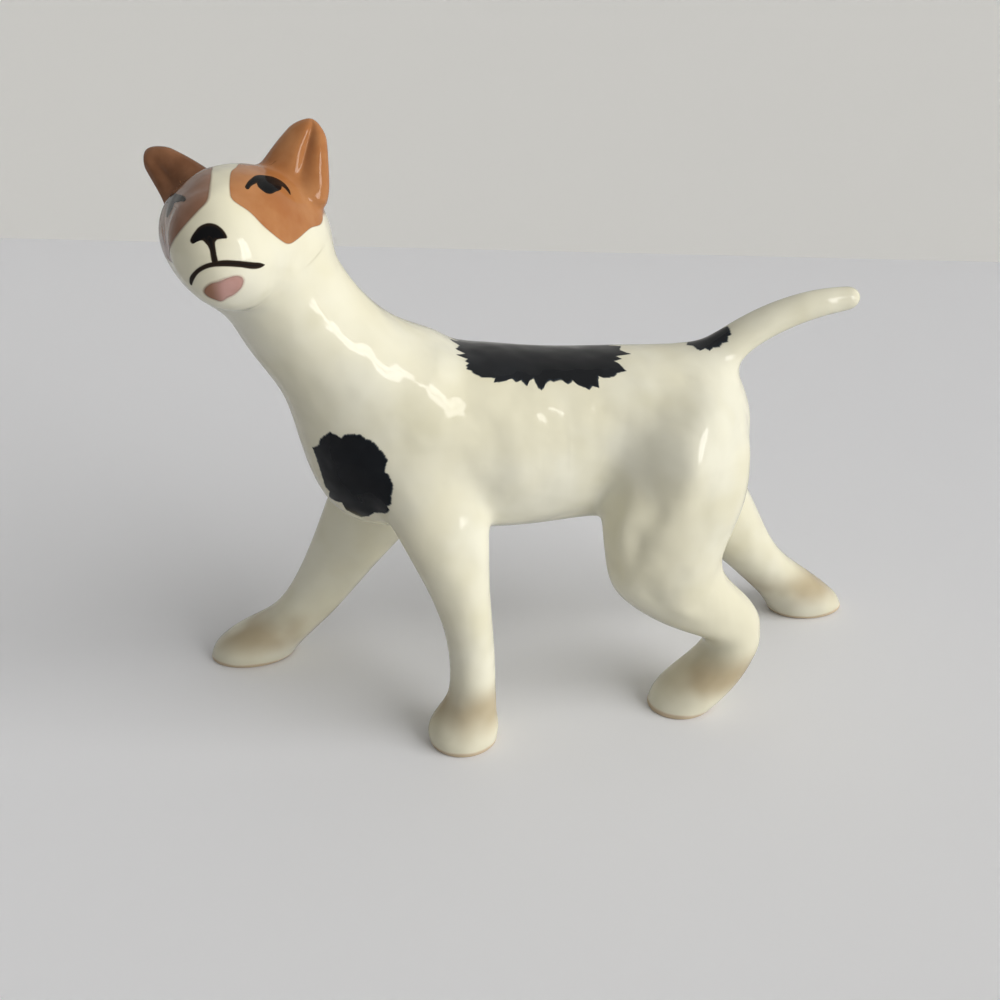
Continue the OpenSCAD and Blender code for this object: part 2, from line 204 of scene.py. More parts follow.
class Form:
    """A solid form with a base surface over rows and turns, and a distance to it."""

    last: int
    far: float = 99.0
    rise: float = 40.0

    def base(self, u: Array, v: Array) -> Array:
        """Point of the surface at rows u and turns v."""
        raise NotImplementedError

    def out(self, u: Array, v: Array) -> Array:
        """Direction away from the form at rows u and turns v."""
        raise NotImplementedError

    def distance(self, points: Array) -> Array:
        """Distance of points outward from the surface, near it."""
        raise NotImplementedError

    def near(self, points: Array, margin: float = 13.0, fade: float = 5.0) -> Array:
        """Distance, worked out only for points close to the form.

        Args:
            points: The points, one a row.
            margin: How far past the form's box points still count.
            fade: Width of the band before that in which the distance eases up to a large value.

        Returns:
            Distances, with a large value for points far away.
        """
        if not hasattr(self, "_box"):
            u, v = np.meshgrid(np.linspace(0, self.last, 60), np.linspace(0, 2 * np.pi, 24))
            p = self.base(u.ravel(), v.ravel())
            self._box = (p.min(0), p.max(0))
        gap = np.maximum(self._box[0] - points, points - self._box[1]).max(-1)
        close = gap < margin
        result = np.full(len(points), self.far)
        if close.any():
            rise = self.rise * ease((gap[close] - margin + fade) / fade)
            result[close] = self.distance(points[close]) + rise
        return result


class Sweep(Form):
    """A form swept along a spline, with round ends.

    Its section at a row is an ellipse. At a round end the section shrinks as a quarter of an
    ellipse does. The form may stand in a turned frame of its own. Past a flat end the distance
    grows by the flat cap's length in rows.
    """

    flat_cap: float = 0.5
    past: float = 1.5
    steps: int = 3
    longest: float = 0.12

    def __init__(self, rows: Array, ends: tuple[float, float], swells: tuple[Swell, ...] = (),
                 turned: Array | None = None, at: Array | None = None) -> None:
        """Keeps the rows and works out the form's frame.

        Args:
            rows: x, y, z, half depth and half width, a row for each station.
            ends: Length of the round start and end, in rows; 0 for a flat one.
            swells: Swellings of the surface.
            turned: Rotation of the form's frame.
            at: Origin of the form's frame.
        """
        self.rows = np.array(rows, float)
        self.ends = ends
        self.swells = swells
        self.turned = np.eye(3) if turned is None else turned
        self.at = np.zeros(3) if at is None else at
        self.last = len(self.rows) - 1

    def path(self, u: Array) -> tuple[Array, Array, Array]:
        """Points, slopes and bends of the path, carried on straight past its ends."""
        value, slope, bend = spline(self.rows, u)
        past = (u - np.clip(u, 0, self.last))[..., None]
        return value[..., :3] + past * slope[..., :3], slope[..., :3], bend[..., :3] * (past == 0)

    def _stand(self, u: Array) -> tuple[Array, Array, Array, Array, Array, Array]:
        """Path point, slope length, tangent, side, up and the spline's slope at rows u."""
        centre, along, _ = self.path(u)
        length = np.linalg.norm(along, axis=-1)
        t = along / length[..., None]
        side = unit(np.array([0.0, 1.0, 0.0]) - t * t[..., 1:2])
        return centre, length, t, side, np.cross(side, t), spline(self.rows, u)[1]

    def base(self, u: Array, v: Array) -> Array:
        """Point of the surface: an ellipse of the row, shrunk at a round end."""
        u, v = np.broadcast_arrays(u, v)
        centre, _, _, side, up, _ = self._stand(u)
        half = spline(self.rows, u)[0][..., 3:5]
        g = swelling(self.swells, u, v)
        shrink = np.ones_like(u, float)
        for end, reach in zip(self.ends, (u, self.last - u)):
            if end:
                shrink = shrink * np.sqrt(np.clip(1 - np.clip(1 - reach / end, 0, 1) ** 2, 0, 1))
        local = (up * ((half[..., 0] + g) * np.cos(v) * shrink)[..., None]
                 + side * ((half[..., 1] + g) * np.sin(v) * shrink)[..., None] + centre)
        return local @ self.turned.T + self.at

    def out(self, u: Array, v: Array) -> Array:
        """Direction outward: that of the ellipse, leaning along the path at a round end."""
        _, length, t, side, up, _ = self._stand(u)
        half = spline(self.rows, u)[0][..., 3:5]
        lean, shrink = np.zeros(len(u)), np.ones(len(u))
        for end, reach, sign in zip(self.ends, (u, self.last - u), (-1, 1)):
            e = np.clip(1 - reach / end, 0, 1) if end else np.zeros(len(u))
            lean = lean + sign * e / (length * (end or 1))
            shrink = shrink * np.sqrt(np.clip(1 - e**2, 0, 1))
        away = (up * (np.cos(v) * shrink / half[..., 0])[:, None]
                + side * (np.sin(v) * shrink / half[..., 1])[:, None] + t * lean[:, None])
        return unit(away) @ self.turned.T

    def distance(self, points: Array) -> Array:
        """Radius share minus one, over the length of that share's gradient."""
        p = (points - self.at) @ self.turned
        u = self._nearest(p)
        centre, length, t, side, up, change = self._stand(u)
        value = spline(self.rows, u)[0]
        away = p - centre
        x, y = dot(away, up), dot(away, side)
        v = np.arctan2(y / value[:, 4], x / value[:, 3])
        g = swelling(self.swells, u, v)
        a, b = value[:, 3] + g, value[:, 4] + g
        e, de = np.zeros(len(u)), np.zeros(len(u))
        for end, reach, sign in zip(self.ends, (u, self.last - u), (-1, 1)):
            rows = end or self.flat_cap
            cap = 1 - reach / rows - (0 if end else 1)
            e, de = np.where(cap > e, cap, e), np.where(cap > e, sign / rows, de)
        share = np.sqrt(np.maximum((x / a) ** 2 + (y / b) ** 2 + e**2, LEAST_SHARE))
        lean = (e * de - x**2 / a**3 * change[:, 3] - y**2 / b**3 * change[:, 4]) / length
        steep = np.sqrt((x / a**2) ** 2 + (y / b**2) ** 2 + lean**2) / share
        return (share - 1) / np.maximum(steep, LEAST_SLOPE)

    def _nearest(self, p: Array) -> Array:
        """Row of the path nearest to each point: the best of many, then three Newton steps."""
        rows = np.linspace(-self.past, self.last + self.past, 6 * self.last + 19)
        path = self.path(rows)[0]
        u = rows[((path**2).sum(1) - 2 * p @ path.T).argmin(1)]
        for _ in range(self.steps):
            centre, along, bend = self.path(u)
            away, square = p - centre, dot(along, along)
            step = dot(away, along) / np.maximum(square - dot(away, bend), 0.25 * square)
            u = u + np.clip(step, -self.longest, self.longest)
        return u


class Slices(Form):
    """A leg: a stack of level ellipses from the sole up, with a round top."""

    dome_rows: float = 0.9

    def __init__(self, rows: Array, swells: tuple[Swell, ...] = ()) -> None:
        """Tables the slices by height.

        Args:
            rows: x, y, z, half length and half width, a row for each slice.
            swells: Swellings of the surface.
        """
        self.rows = np.array(rows, float)
        self.swells = swells
        self.last = len(self.rows) - 1
        u = np.linspace(0, self.last, 500)
        value, slope, _ = spline(self.rows, u)
        self.table_u, self.table = u, value
        self.table_slope = slope / slope[:, 2:3]
        self.top = value[-1, 2]
        self.dome = np.interp(self.last - self.dome_rows, u, value[:, 2])

    def slice_at(self, z: Array) -> tuple[Array, Array, Array, Array]:
        """Slice values, their slopes by height, rows and the round top's share at heights z."""
        heights = self.table[:, 2]
        value, slope = (np.stack([np.interp(z, heights, table[:, k]) for k in range(5)], -1)
                        for table in (self.table, self.table_slope))
        u = np.interp(z, self.table[:, 2], self.table_u)
        return value, slope, u, np.maximum((z - self.dome) / (self.top - self.dome), 0)

    def height(self, rows: Array) -> Array:
        """Heights of rows."""
        return np.interp(rows, self.table_u, self.table[:, 2])

    def base(self, u: Array, v: Array) -> Array:
        """Point of the surface: an ellipse in the level of the row."""
        u, v = np.broadcast_arrays(u, v)
        value = spline(self.rows, u)[0]
        e = self.slice_at(value[..., 2])[3]
        shrink = np.sqrt(np.clip(1 - e**2, 0, 1))
        g = swelling(self.swells, u, v)
        x = value[..., 0] + (value[..., 3] + g) * np.cos(v) * shrink
        y = value[..., 1] + (value[..., 4] + g) * np.sin(v) * shrink
        return np.stack([x, y, value[..., 2]], -1)

    def out(self, u: Array, v: Array) -> Array:
        """Level direction from the slice's middle through the surface."""
        u, v = np.broadcast_arrays(u, v)
        value = spline(self.rows, u)[0]
        return unit(np.stack([value[..., 3] * np.cos(v), value[..., 4] * np.sin(v), 0 * u], -1))

    def distance(self, points: Array) -> Array:
        """Radius share minus one, over the length of that share's gradient."""
        value, slope, u, e = self.slice_at(points[:, 2])
        x, y = points[:, 0] - value[:, 0], points[:, 1] - value[:, 1]
        g = swelling(self.swells, u, np.arctan2(y / value[:, 4], x / value[:, 3]))
        a, b = value[:, 3] + g, value[:, 4] + g
        share = np.sqrt(np.maximum((x / a) ** 2 + (y / b) ** 2 + e**2, LEAST_SHARE))
        lean = (e / (self.top - self.dome) - x / a**2 * slope[:, 0] - y / b**2 * slope[:, 1]
                - x**2 / a**3 * slope[:, 3] - y**2 / b**3 * slope[:, 4])
        steep = np.sqrt((x / a**2) ** 2 + (y / b**2) ** 2 + lean**2) / share
        return (share - 1) / np.maximum(steep, LEAST_SLOPE)


def gradient(distance: Callable[[Array], Array], points: Array, step: float = 0.02) -> Array:
    """Unit gradient of a distance, from its values at the corners of a small tetrahedron.

    Args:
        distance: Function from points to distances.
        points: Points, one a row.
        step: Half the width of the tetrahedron's box.

    Returns:
        One unit vector for each point.
    """
    corners = np.array([[1, -1, -1], [-1, -1, 1], [-1, 1, -1], [1, 1, 1]], float)
    return unit(sum(distance(points + step * c)[:, None] * c for c in corners))


def fuse(distances: list[Array], soft: float) -> Array:
    """Smooth union: minus the log of the sum of the exponentials of minus the distances.

    Args:
        distances: Distances to the forms.
        soft: Softness of the joint, in millimetres.

    Returns:
        Distance to the fused forms.
    """
    d = np.stack(distances)
    low = d.min(0)
    return low - soft * np.log(np.exp(-(d - low) / soft).sum(0))


class Leg(Enum):
    """The four legs: which end of the body, and the side as the sign of Y."""

    FRONT_LEFT = ("front_leg_left", -1)
    FRONT_RIGHT = ("front_leg_right", 1)
    HIND_LEFT = ("hind_leg_left", -1)
    HIND_RIGHT = ("hind_leg_right", 1)


FRONT_FOOT, HIND_FOOT = -0.295, 0.25
SHOULDER, HIP = (-0.34, 0.3), (0.27, 0.28)
TAIL_ROOT = (0.17, 0.3)
TRUNK_ENDS, TAIL_ENDS, SKULL_ENDS, EAR_ENDS = (1.1, 0), (0, 0.8), (1.2, 1.6), (0.7, 0.9)
TRUNK_SHARES = (
    (0.01, 0.53, 0.4, 0.35, 0), (0.15, 0.52, 0.44, 0.41, 0), (0.3, 0.5, 0.485, 0, 0.52),
    (0.455, 0.495, 0.495, 0, 0.56), (0.61, 0.515, 0.51, 0.5, 0), (0.76, 0.58, 0.55, 0.515, 0),
    (0.885, 0.76, 0.495, 0.455, 0))
FLANK_SWELLS = (
    (4.6, 112, 0.5, 34, -0.04), (3.7, 115, 0.6, 36, 0.03), (6, 52, 0.8, 26, 0.045),
    (1.1, 80, 0.6, 26, 0.14), (1.6, 98, 0.62, 28, 0.17), (2.4, 112, 0.42, 30, -0.075),
    (1.12, 83, 0.3, 14, -0.03))
THIGH_SWELLS = (
    (10.3, 240, 0.45, 12, -0.07), (9.6, 228, 0.45, 11, -0.08), (10, 216, 0.6, 11, 0.06),
    (10.9, 276, 0.4, 9, -0.05), (8.2, 240, 0.6, 14, -0.06), (7.4, 262, 0.5, 14, 0.03))
NECK_SHARES = ((0.36, 0.29, 0.65, 0.6), (0.6, 0.57, 0.535, 0.525), (0.79, 0.84, 0.49, 0.495))
SKULL_SHARES = (
    (-0.43, 0.02, 0.34, 0.4), (-0.33, 0.02, 0.43, 0.51), (-0.18, 0, 0.49, 0.545),
    (0, -0.03, 0.5, 0.49), (0.15, -0.09, 0.47, 0.42), (0.29, -0.19, 0.41, 0.345),
    (0.43, -0.26, 0.36, 0.3), (0.54, -0.3, 0.29, 0.26))
EAR_SHARES = (
    (-0.2, 0.62, 0.2, 0.44, 0.38), (-0.2, 0.74, 0.44, 0.45, 0.42), (-0.18, 0.9, 0.68, 0.38, 0.34),
    (-0.17, 1.07, 0.92, 0.28, 0.23), (-0.16, 1.17, 1.08, 0.2, 0.13))
LEFT_EAR_SWELLS = ((2.2, 22, 1.3, 15, -0.065), (1, 60, 1.2, 30, 0.03))
RIGHT_EAR_SWELLS = ((2, 0, 1.3, 50, -0.11), (1.5, 270, 1.9, 60, -0.13))
SKULL_SWELLS = ((4.8, 300, 1.4, 45, -0.035), (2.9, 246, 0.9, 34, 0.05), (5.4, 118, 1.0, 34, -0.025))
TAIL_SHARES = (
    (-0.12, -0.12, 0.76), (0.02, -0.02, 0.68), (0.17, 0.08, 0.6), (0.34, 0.135, 0.54),
    (0.55, 0.15, 0.5), (0.78, 0.12, 0.45), (0.95, 0.06, 0.38), (1.02, 0.035, 0.32))
LEG_SHARES = {
    Leg.FRONT_LEFT: (
        (0, 0, 0, 0.72, 0.5), (0.05, 0.003, 0, 0.8, 0.53), (0.1, 0.02, 0, 0.66, 0.46),
        (0.15, 0.043, 0, 0.54, 0.39), (0.21, 0.056, 0, 0.48, 0.37), (0.4, 0.065, 0.03, 0.48, 0.37),
        (0.6, 0.04, 0.05, 0.61, 0.42), (0.8, 0.01, 0.06, 0.94, 0.48), (1, -0.035, 0.02, 0.94, 0.48),
        (1.1, -0.045, 0, 0.78, 0.42)),
    Leg.FRONT_RIGHT: (
        (0, 0, 0, 0.98, 0.48), (0.05, -0.012, 0, 1.06, 0.52), (0.1, 0, 0, 1.06, 0.5),
        (0.15, 0.03, 0, 0.98, 0.45), (0.21, 0.09, 0, 0.72, 0.4), (0.4, 0.095, 0.02, 0.86, 0.4),
        (0.62, 0.095, 0.04, 1.24, 0.46), (0.82, 0.055, 0.04, 1.38, 0.48), (1, 0, 0.02, 1.1, 0.48),
        (1.1, -0.05, 0, 0.84, 0.42)),
    Leg.HIND_LEFT: (
        (0, 0, 0, 0.72, 0.48), (0.05, 0.035, 0, 0.88, 0.52), (0.11, 0.09, 0, 0.9, 0.47),
        (0.18, 0.155, 0, 0.7, 0.44), (0.24, 0.19, 0, 0.6, 0.44), (0.295, 0.17, 0, 0.7, 0.46),
        (0.34, 0.1, 0, 1.1, 0.5), (0.41, 0.02, 0, 1.3, 0.54), (0.5, -0.08, 0.01, 1.28, 0.6),
        (0.62, -0.115, 0.03, 1.22, 0.66), (0.8, -0.09, 0.05, 1.54, 0.68),
        (0.96, -0.05, 0.03, 1.36, 0.6), (1.08, -0.03, -0.03, 1, 0.42)),
    Leg.HIND_RIGHT: (
        (0, 0, 0, 0.96, 0.48), (0.05, 0.01, 0, 0.98, 0.52), (0.1, 0, 0, 0.93, 0.5),
        (0.17, -0.025, 0, 0.88, 0.45), (0.27, -0.07, 0, 0.78, 0.42), (0.37, -0.095, 0, 0.86, 0.44),
        (0.48, -0.105, 0.01, 1.06, 0.5), (0.62, -0.12, 0.03, 1.3, 0.6),
        (0.8, -0.1, 0.05, 1.42, 0.66), (0.96, -0.05, 0.03, 1.34, 0.6),
        (1.08, -0.03, -0.03, 1, 0.42))}


class Figurine:
    """All the castings' forms in the frame, and the fused surface that slip and glaze give them."""

    body_soft: float = 2.0
    head_soft: float = 0.7
    neck_soft: float = 1.2
    sink: float = 0.03
    ear_lift: float = 0.06
    ear_tuck: float = 0.09

    def __init__(self, s: Sizes) -> None:
        """Builds the forms.

        Args:
            s: The driving sizes.
        """
        self.sizes = s
        front = np.array([FRONT_FOOT * s.body_l, s.front_track / 2])
        hind = np.array([HIND_FOOT * s.body_l, s.hind_track / 2])
        shoulder = np.array([SHOULDER[0] * s.body_l, SHOULDER[1] * s.body_w])
        hip = np.array([HIP[0] * s.body_l, HIP[1] * s.body_w])
        self.shift = self._shift(front)
        stance = {Leg.FRONT_LEFT: (front, shoulder),
                  Leg.FRONT_RIGHT: (front - [s.front_step, 0], shoulder),
                  Leg.HIND_LEFT: (hind, hip), Leg.HIND_RIGHT: (hind + [s.hind_step, 0], hip)}
        self.trunk = self._trunk()
        self.legs = {leg: self._leg(leg, *stance[leg]) for leg in Leg}
        self.tail = self._tail()
        self.head_turned = (rotation(2, 180 + s.head_turn) @ rotation(1, -s.head_lift)
                            @ rotation(0, s.head_tilt))
        self.head_at = s.head_at + self.shift
        self.skull = self._skull()
        self.ears = {side: self._ear(side) for side in (1, -1)}

    @staticmethod
    def _shift(foot: Array) -> Array:
        """Shift of the frame, read from the sole of the left front leg."""
        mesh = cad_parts["front_leg_left"].data
        co = np.zeros(len(mesh.vertices) * 3)
        mesh.vertices.foreach_get("co", co)
        sole = co.reshape(-1, 3)[co.reshape(-1, 3)[:, 2] < 0.01 * MM] / MM
        middle = (sole.min(0) + sole.max(0)) / 2
        return np.array([middle[0] - foot[0], middle[1] + foot[1], 0.0])

    def _placed(self, rows: Array) -> Array:
        """Rows moved into the frame."""
        rows = np.array(rows, float)
        rows[:, :3] += self.shift
        return rows

    def _trunk(self) -> Sweep:
        """Body and neck, from the rump to the middle of the head."""
        s = self.sizes
        body = [(s.rump_x - r[0] * s.body_l, 0, s.belly_h + r[1] * s.body_d, r[2] * s.body_d,
                 r[3] * s.body_w + r[4] * s.waist_w) for r in TRUNK_SHARES]
        b, head = np.array(body[-1]), s.head_at
        neck = [(b[0] + r[0] * (head[0] - b[0]), r[0] * head[1], b[2] + r[1] * (head[2] - b[2]),
                 r[2] * s.neck_t, r[3] * s.neck_t) for r in NECK_SHARES]
        swells = [Swell(5.55, 180, 0.6, 50, 0.12 * s.body_d),
                  Swell(7, 180, 0.8, 60, -0.08 * s.body_d),
                  Swell(7, 302, 0.8, 40, 0.07 * s.neck_t),
                  Swell(5, 0, 0.7, 42, -0.045 * s.body_w)]
        for turn in (1, -1):
            for row, low, spread, around, rise in FLANK_SWELLS:
                swells.append(Swell(row, turn * low, spread, around, rise * s.body_w))
        return Sweep(self._placed(body + neck), TRUNK_ENDS, tuple(swells))

    def _leg(self, leg: Leg, foot: Array, top: Array) -> Slices:
        """One leg from its foot to its top.

        Args:
            leg: Which leg.
            foot: Place of the foot, along and outward.
            top: Place of the leg's top, along and outward.

        Returns:
            The leg's form.
        """
        s, side = self.sizes, leg.value[1]
        rows = [(foot[0] + r[0] * (top[0] - foot[0]) + r[1] * s.hip_h,
                 side * (foot[1] + r[0] * (top[1] - foot[1]) + r[2] * s.hip_h),
                 r[0] * s.hip_h, r[3] * s.leg_t, r[4] * s.foot_w) for r in LEG_SHARES[leg]]
        swells = THIGH_SWELLS if leg is Leg.HIND_LEFT else ()
        return Slices(self._placed(rows), tuple(Swell(*w[:4], w[4] * s.leg_t) for w in swells))

    def _tail(self) -> Sweep:
        """Tail from inside the rump to its tip."""
        s = self.sizes
        c, r = math.cos(math.radians(s.tail_rise)), math.sin(math.radians(s.tail_rise))
        root = (s.rump_x - TAIL_ROOT[0] * s.body_l, s.back_h - TAIL_ROOT[1] * s.body_d)
        rows = [(root[0] + s.tail_l * (t[0] * c - t[1] * r), 0,
                 root[1] + s.tail_l * (t[0] * r + t[1] * c), t[2] * s.tail_t, t[2] * s.tail_t)
                for t in TAIL_SHARES]
        return Sweep(self._placed(rows), TAIL_ENDS)

    def _skull(self) -> Sweep:
        """Head in its own turned frame."""
        s = self.sizes
        rows = [(r[0] * s.head_l, 0, r[1] * s.head_d, r[2] * s.head_d, r[3] * s.head_w)
                for r in SKULL_SHARES]
        swells = tuple(Swell(*w[:4], w[4] * s.head_w) for w in SKULL_SWELLS)
        return Sweep(rows, SKULL_ENDS, swells, self.head_turned, self.head_at)

    def _ear(self, side: int) -> Sweep:
        """One ear in the head's frame; the right one sits higher and closer in.

        Args:
            side: 1 for the left ear, -1 for the right one.

        Returns:
            The ear's form.
        """
        s = self.sizes
        lift, tuck = (0.0, 0.0) if side > 0 else (self.ear_lift * s.ear_h, self.ear_tuck * s.ear_h)
        rows = [(r[0] * s.ear_h, side * (r[1] * s.head_w / 2 - tuck), r[2] * s.ear_h + lift,
                 r[3] * s.ear_t, r[4] * s.ear_w) for r in EAR_SHARES]
        swells = LEFT_EAR_SWELLS if side > 0 else RIGHT_EAR_SWELLS
        return Sweep(rows, EAR_ENDS, tuple(Swell(*w[:4], w[4] * s.ear_w) for w in swells),
                     self.head_turned, self.head_at)

    def surface(self, points: Array) -> Array:
        """Distance to the fused figurine, sunk a little to stay within the solids' box.

        Args:
            points: Points, one a row.

        Returns:
            Distances, negative inside.
        """
        body, head = ([form.near(points) for form in forms] for forms in (
            (self.trunk, self.tail, *self.legs.values()), (self.skull, *self.ears.values())))
        body, head = fuse(body, self.body_soft), fuse(head, self.head_soft)
        return fuse([body, head], self.neck_soft) + self.sink


def settle(dog: Figurine, base: Array, out: Array, reach: float) -> Array:
    """How far outward from base points the fused surface lies: by bisection, or at once if close.

    Args:
        dog: The figurine.
        base: Start points on or inside the surface.
        out: Directions.
        reach: Largest distance.

    Returns:
        One distance for each point.
    """
    start = dog.surface(base)
    far = -np.clip(start, 0, MOST_INWARD)
    live = np.flatnonzero(start < -ON_SURFACE)
    base, out = base[live], out[live]
    low, high = np.zeros(len(live)), np.full(len(live), float(reach))
    under, over = start[live], dog.surface(base + reach * out)
    for _ in range(HALVINGS):
        mid = (low + high) / 2
        value = dog.surface(base + mid[:, None] * out)
        inside = value < 0
        low, high = np.where(inside, mid, low), np.where(inside, high, mid)
        under, over = np.where(inside, value, under), np.where(inside, over, value)
    far[live] = low + (high - low) * np.clip(under / np.minimum(under - over, -1e-9), 0, 1)
    return far


@dataclass
class Shell:
    """Grid of points closed around, with what closes its two ends."""

    points: Array
    normals: Array
    first: list[Array] = field(default_factory=list)
    last: list[Array] = field(default_factory=list)
    values: dict[str, Array] = field(default_factory=dict)


def ring_faces(rings: int, sides: int) -> Array:
    """Quads between rings of points.

    Args:
        rings: Number of rings.
        sides: Points in a ring.

    Returns:
        Quads that face outward where the rings turn right-handed about their order.
    """
    i, j = np.meshgrid(np.arange(rings - 1), np.arange(sides), indexing="ij")
    a, b = i * sides + j, i * sides + (j + 1) % sides
    return np.stack([a, b, b + sides, a + sides], -1).reshape(-1, 4)


def fan_faces(ring: Array, middle: int, flip: bool) -> Array:
    """Triangles from a ring of indices to one point."""
    a, b = ring, np.roll(ring, -1)
    order = [b, a] if flip else [a, b]
    return np.stack([*order, np.full(len(ring), middle)], -1)


def make_mesh(name: str, points: Array, quads: Array, tris: Array, normals: Array,
              values: dict[str, Array]) -> bpy.types.Object:
    """Makes a smooth mesh object from arrays.

    Args:
        name: Name of the piece.
        points: Points in millimetres.
        quads: Four-sided faces.
        tris: Three-sided faces.
        normals: One normal for each point.
        values: Point attributes by name.

    Returns:
        The new object, linked to the scene.
    """
    mesh = bpy.data.meshes.new(name)
    mesh.vertices.add(len(points))
    mesh.vertices.foreach_set("co", (points * MM).astype(np.float32).ravel())
    loops = np.concatenate([quads.ravel(), tris.ravel()]).astype(np.int32)
    sizes = np.concatenate([np.full(len(quads), 4), np.full(len(tris), 3)]).astype(np.int32)
    mesh.loops.add(len(loops))
    mesh.loops.foreach_set("vertex_index", loops)
    mesh.polygons.add(len(sizes))
    starts = np.concatenate([[0], np.cumsum(sizes)[:-1]]).astype(np.int32)
    mesh.polygons.foreach_set("loop_start", starts)
    mesh.polygons.foreach_set("use_smooth", np.ones(len(sizes), bool))
    mesh.update(calc_edges=True)
    mesh.validate()
    for key, value in values.items():
        stored = mesh.attributes.new(key, "FLOAT", "POINT")
        stored.data.foreach_set("value", value.astype(np.float32))
    mesh.normals_split_custom_set_from_vertices(normals.tolist())
    piece = bpy.data.objects.new(name, mesh)
    bpy.context.scene.collection.objects.link(piece)
    return piece


def closed(shell: Shell) -> tuple[Array, Array, Array, Array]:
    """Points, normals, quads and triangles of a shell with its ends closed.

    Args:
        shell: Grid of rings; each end list holds further rings and last a single point.

    Returns:
        The four arrays.
    """
    rings, sides = shell.points.shape[:2]
    points, normals = [shell.points.reshape(-1, 3)], [shell.normals.reshape(-1, 3)]
    quads, tris, count = [ring_faces(rings, sides)], [np.zeros((0, 3), int)], rings * sides
    for extra, edge, flip in ((shell.first, 0, True), (shell.last, rings - 1, False)):
        ring = edge * sides + np.arange(sides)
        for more in extra:
            whole = len(more) == sides
            facing = shell.normals[edge] if whole else shell.normals[edge].mean(0, keepdims=True)
            points.append(more)
            normals.append(unit(facing))
            if whole:
                index = count + np.arange(sides)
                a, b, c, d = ring, np.roll(ring, -1), np.roll(index, -1), index
                quads.append(np.stack([b, a, d, c] if flip else [a, b, c, d], -1))
                ring = index
            else:
                tris.append(fan_faces(ring, count, flip))
            count += len(more)
    return tuple(np.concatenate(part) for part in (points, normals, quads, tris))


def shell_mesh(name: str, *shells: Shell) -> bpy.types.Object:
    """Closes shells, turns their faces outward and makes one mesh of them.

    Args:
        name: Name of the piece.
        shells: The shells.

    Returns:
        The new object.
    """
    points, normals, quads, tris, count = [], [], [], [], 0
    values = {key: [] for key in shells[0].values}
    for shell in shells:
        p, n, q, t = closed(shell)
        corners = np.concatenate([q[:, [0, 1, 2]], q[:, [0, 2, 3]], t])
        volume = dot(p[corners[:, 0]], np.cross(p[corners[:, 1]], p[corners[:, 2]])).sum()
        turn = 1 if volume > 0 else -1
        points.append(p)
        normals.append(n)
        quads.append(q[:, ::turn] + count)
        tris.append(t[:, ::turn] + count)
        count += len(p)
        for key, value in shell.values.items():
            values[key] += [value.ravel(), np.full(len(p) - value.size, value.ravel()[0])]
    return make_mesh(name, np.concatenate(points), np.concatenate(quads), np.concatenate(tris),
                     np.concatenate(normals), {key: np.concatenate(v) for key, v in values.items()})


def even_rows(form: Form, start: float, end: float, count: int) -> Array:
    """Rows spaced evenly along the surface's own length, measured on its side.

    Args:
        form: The form.
        start: First row.
        end: Last row.
        count: Number of rows returned.

    Returns:
        The rows.
    """
    u = start + (end - start) * (1 - np.cos(np.linspace(0, np.pi, 2000))) / 2
    p = form.base(u, np.full(len(u), np.pi / 2))
    length = lengths(p)
    return np.interp(np.linspace(0, length[-1], count), length, u)


@dataclass(kw_only=True)
class Piece:
    """One piece of the visual model: the node it stands for, its slot and its finish."""

    node: str
    slot: str
    finish: "Finish"
    kind: str

    @property
    def name(self) -> str:
        """Name of the piece: its node and its kind."""
        return f"{self.node}_{self.kind}"

    def build(self, dog: Figurine) -> bpy.types.Object:
        """Makes the piece's mesh.

        Args:
            dog: The figurine.

        Returns:
            The object.
        """
        raise NotImplementedError

    def dress(self, piece: bpy.types.Object, palette: "dict[Finish, bpy.types.Material]") -> None:
        """Gives the piece its finish and its place in the part.

        Args:
            piece: The piece's object.
            palette: The material of each finish.
        """
        piece.data.materials.append(palette[self.finish])
        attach(piece, "root")
        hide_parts(self.node)
        LOG.info("%s: %d faces", self.name, len(piece.data.polygons))


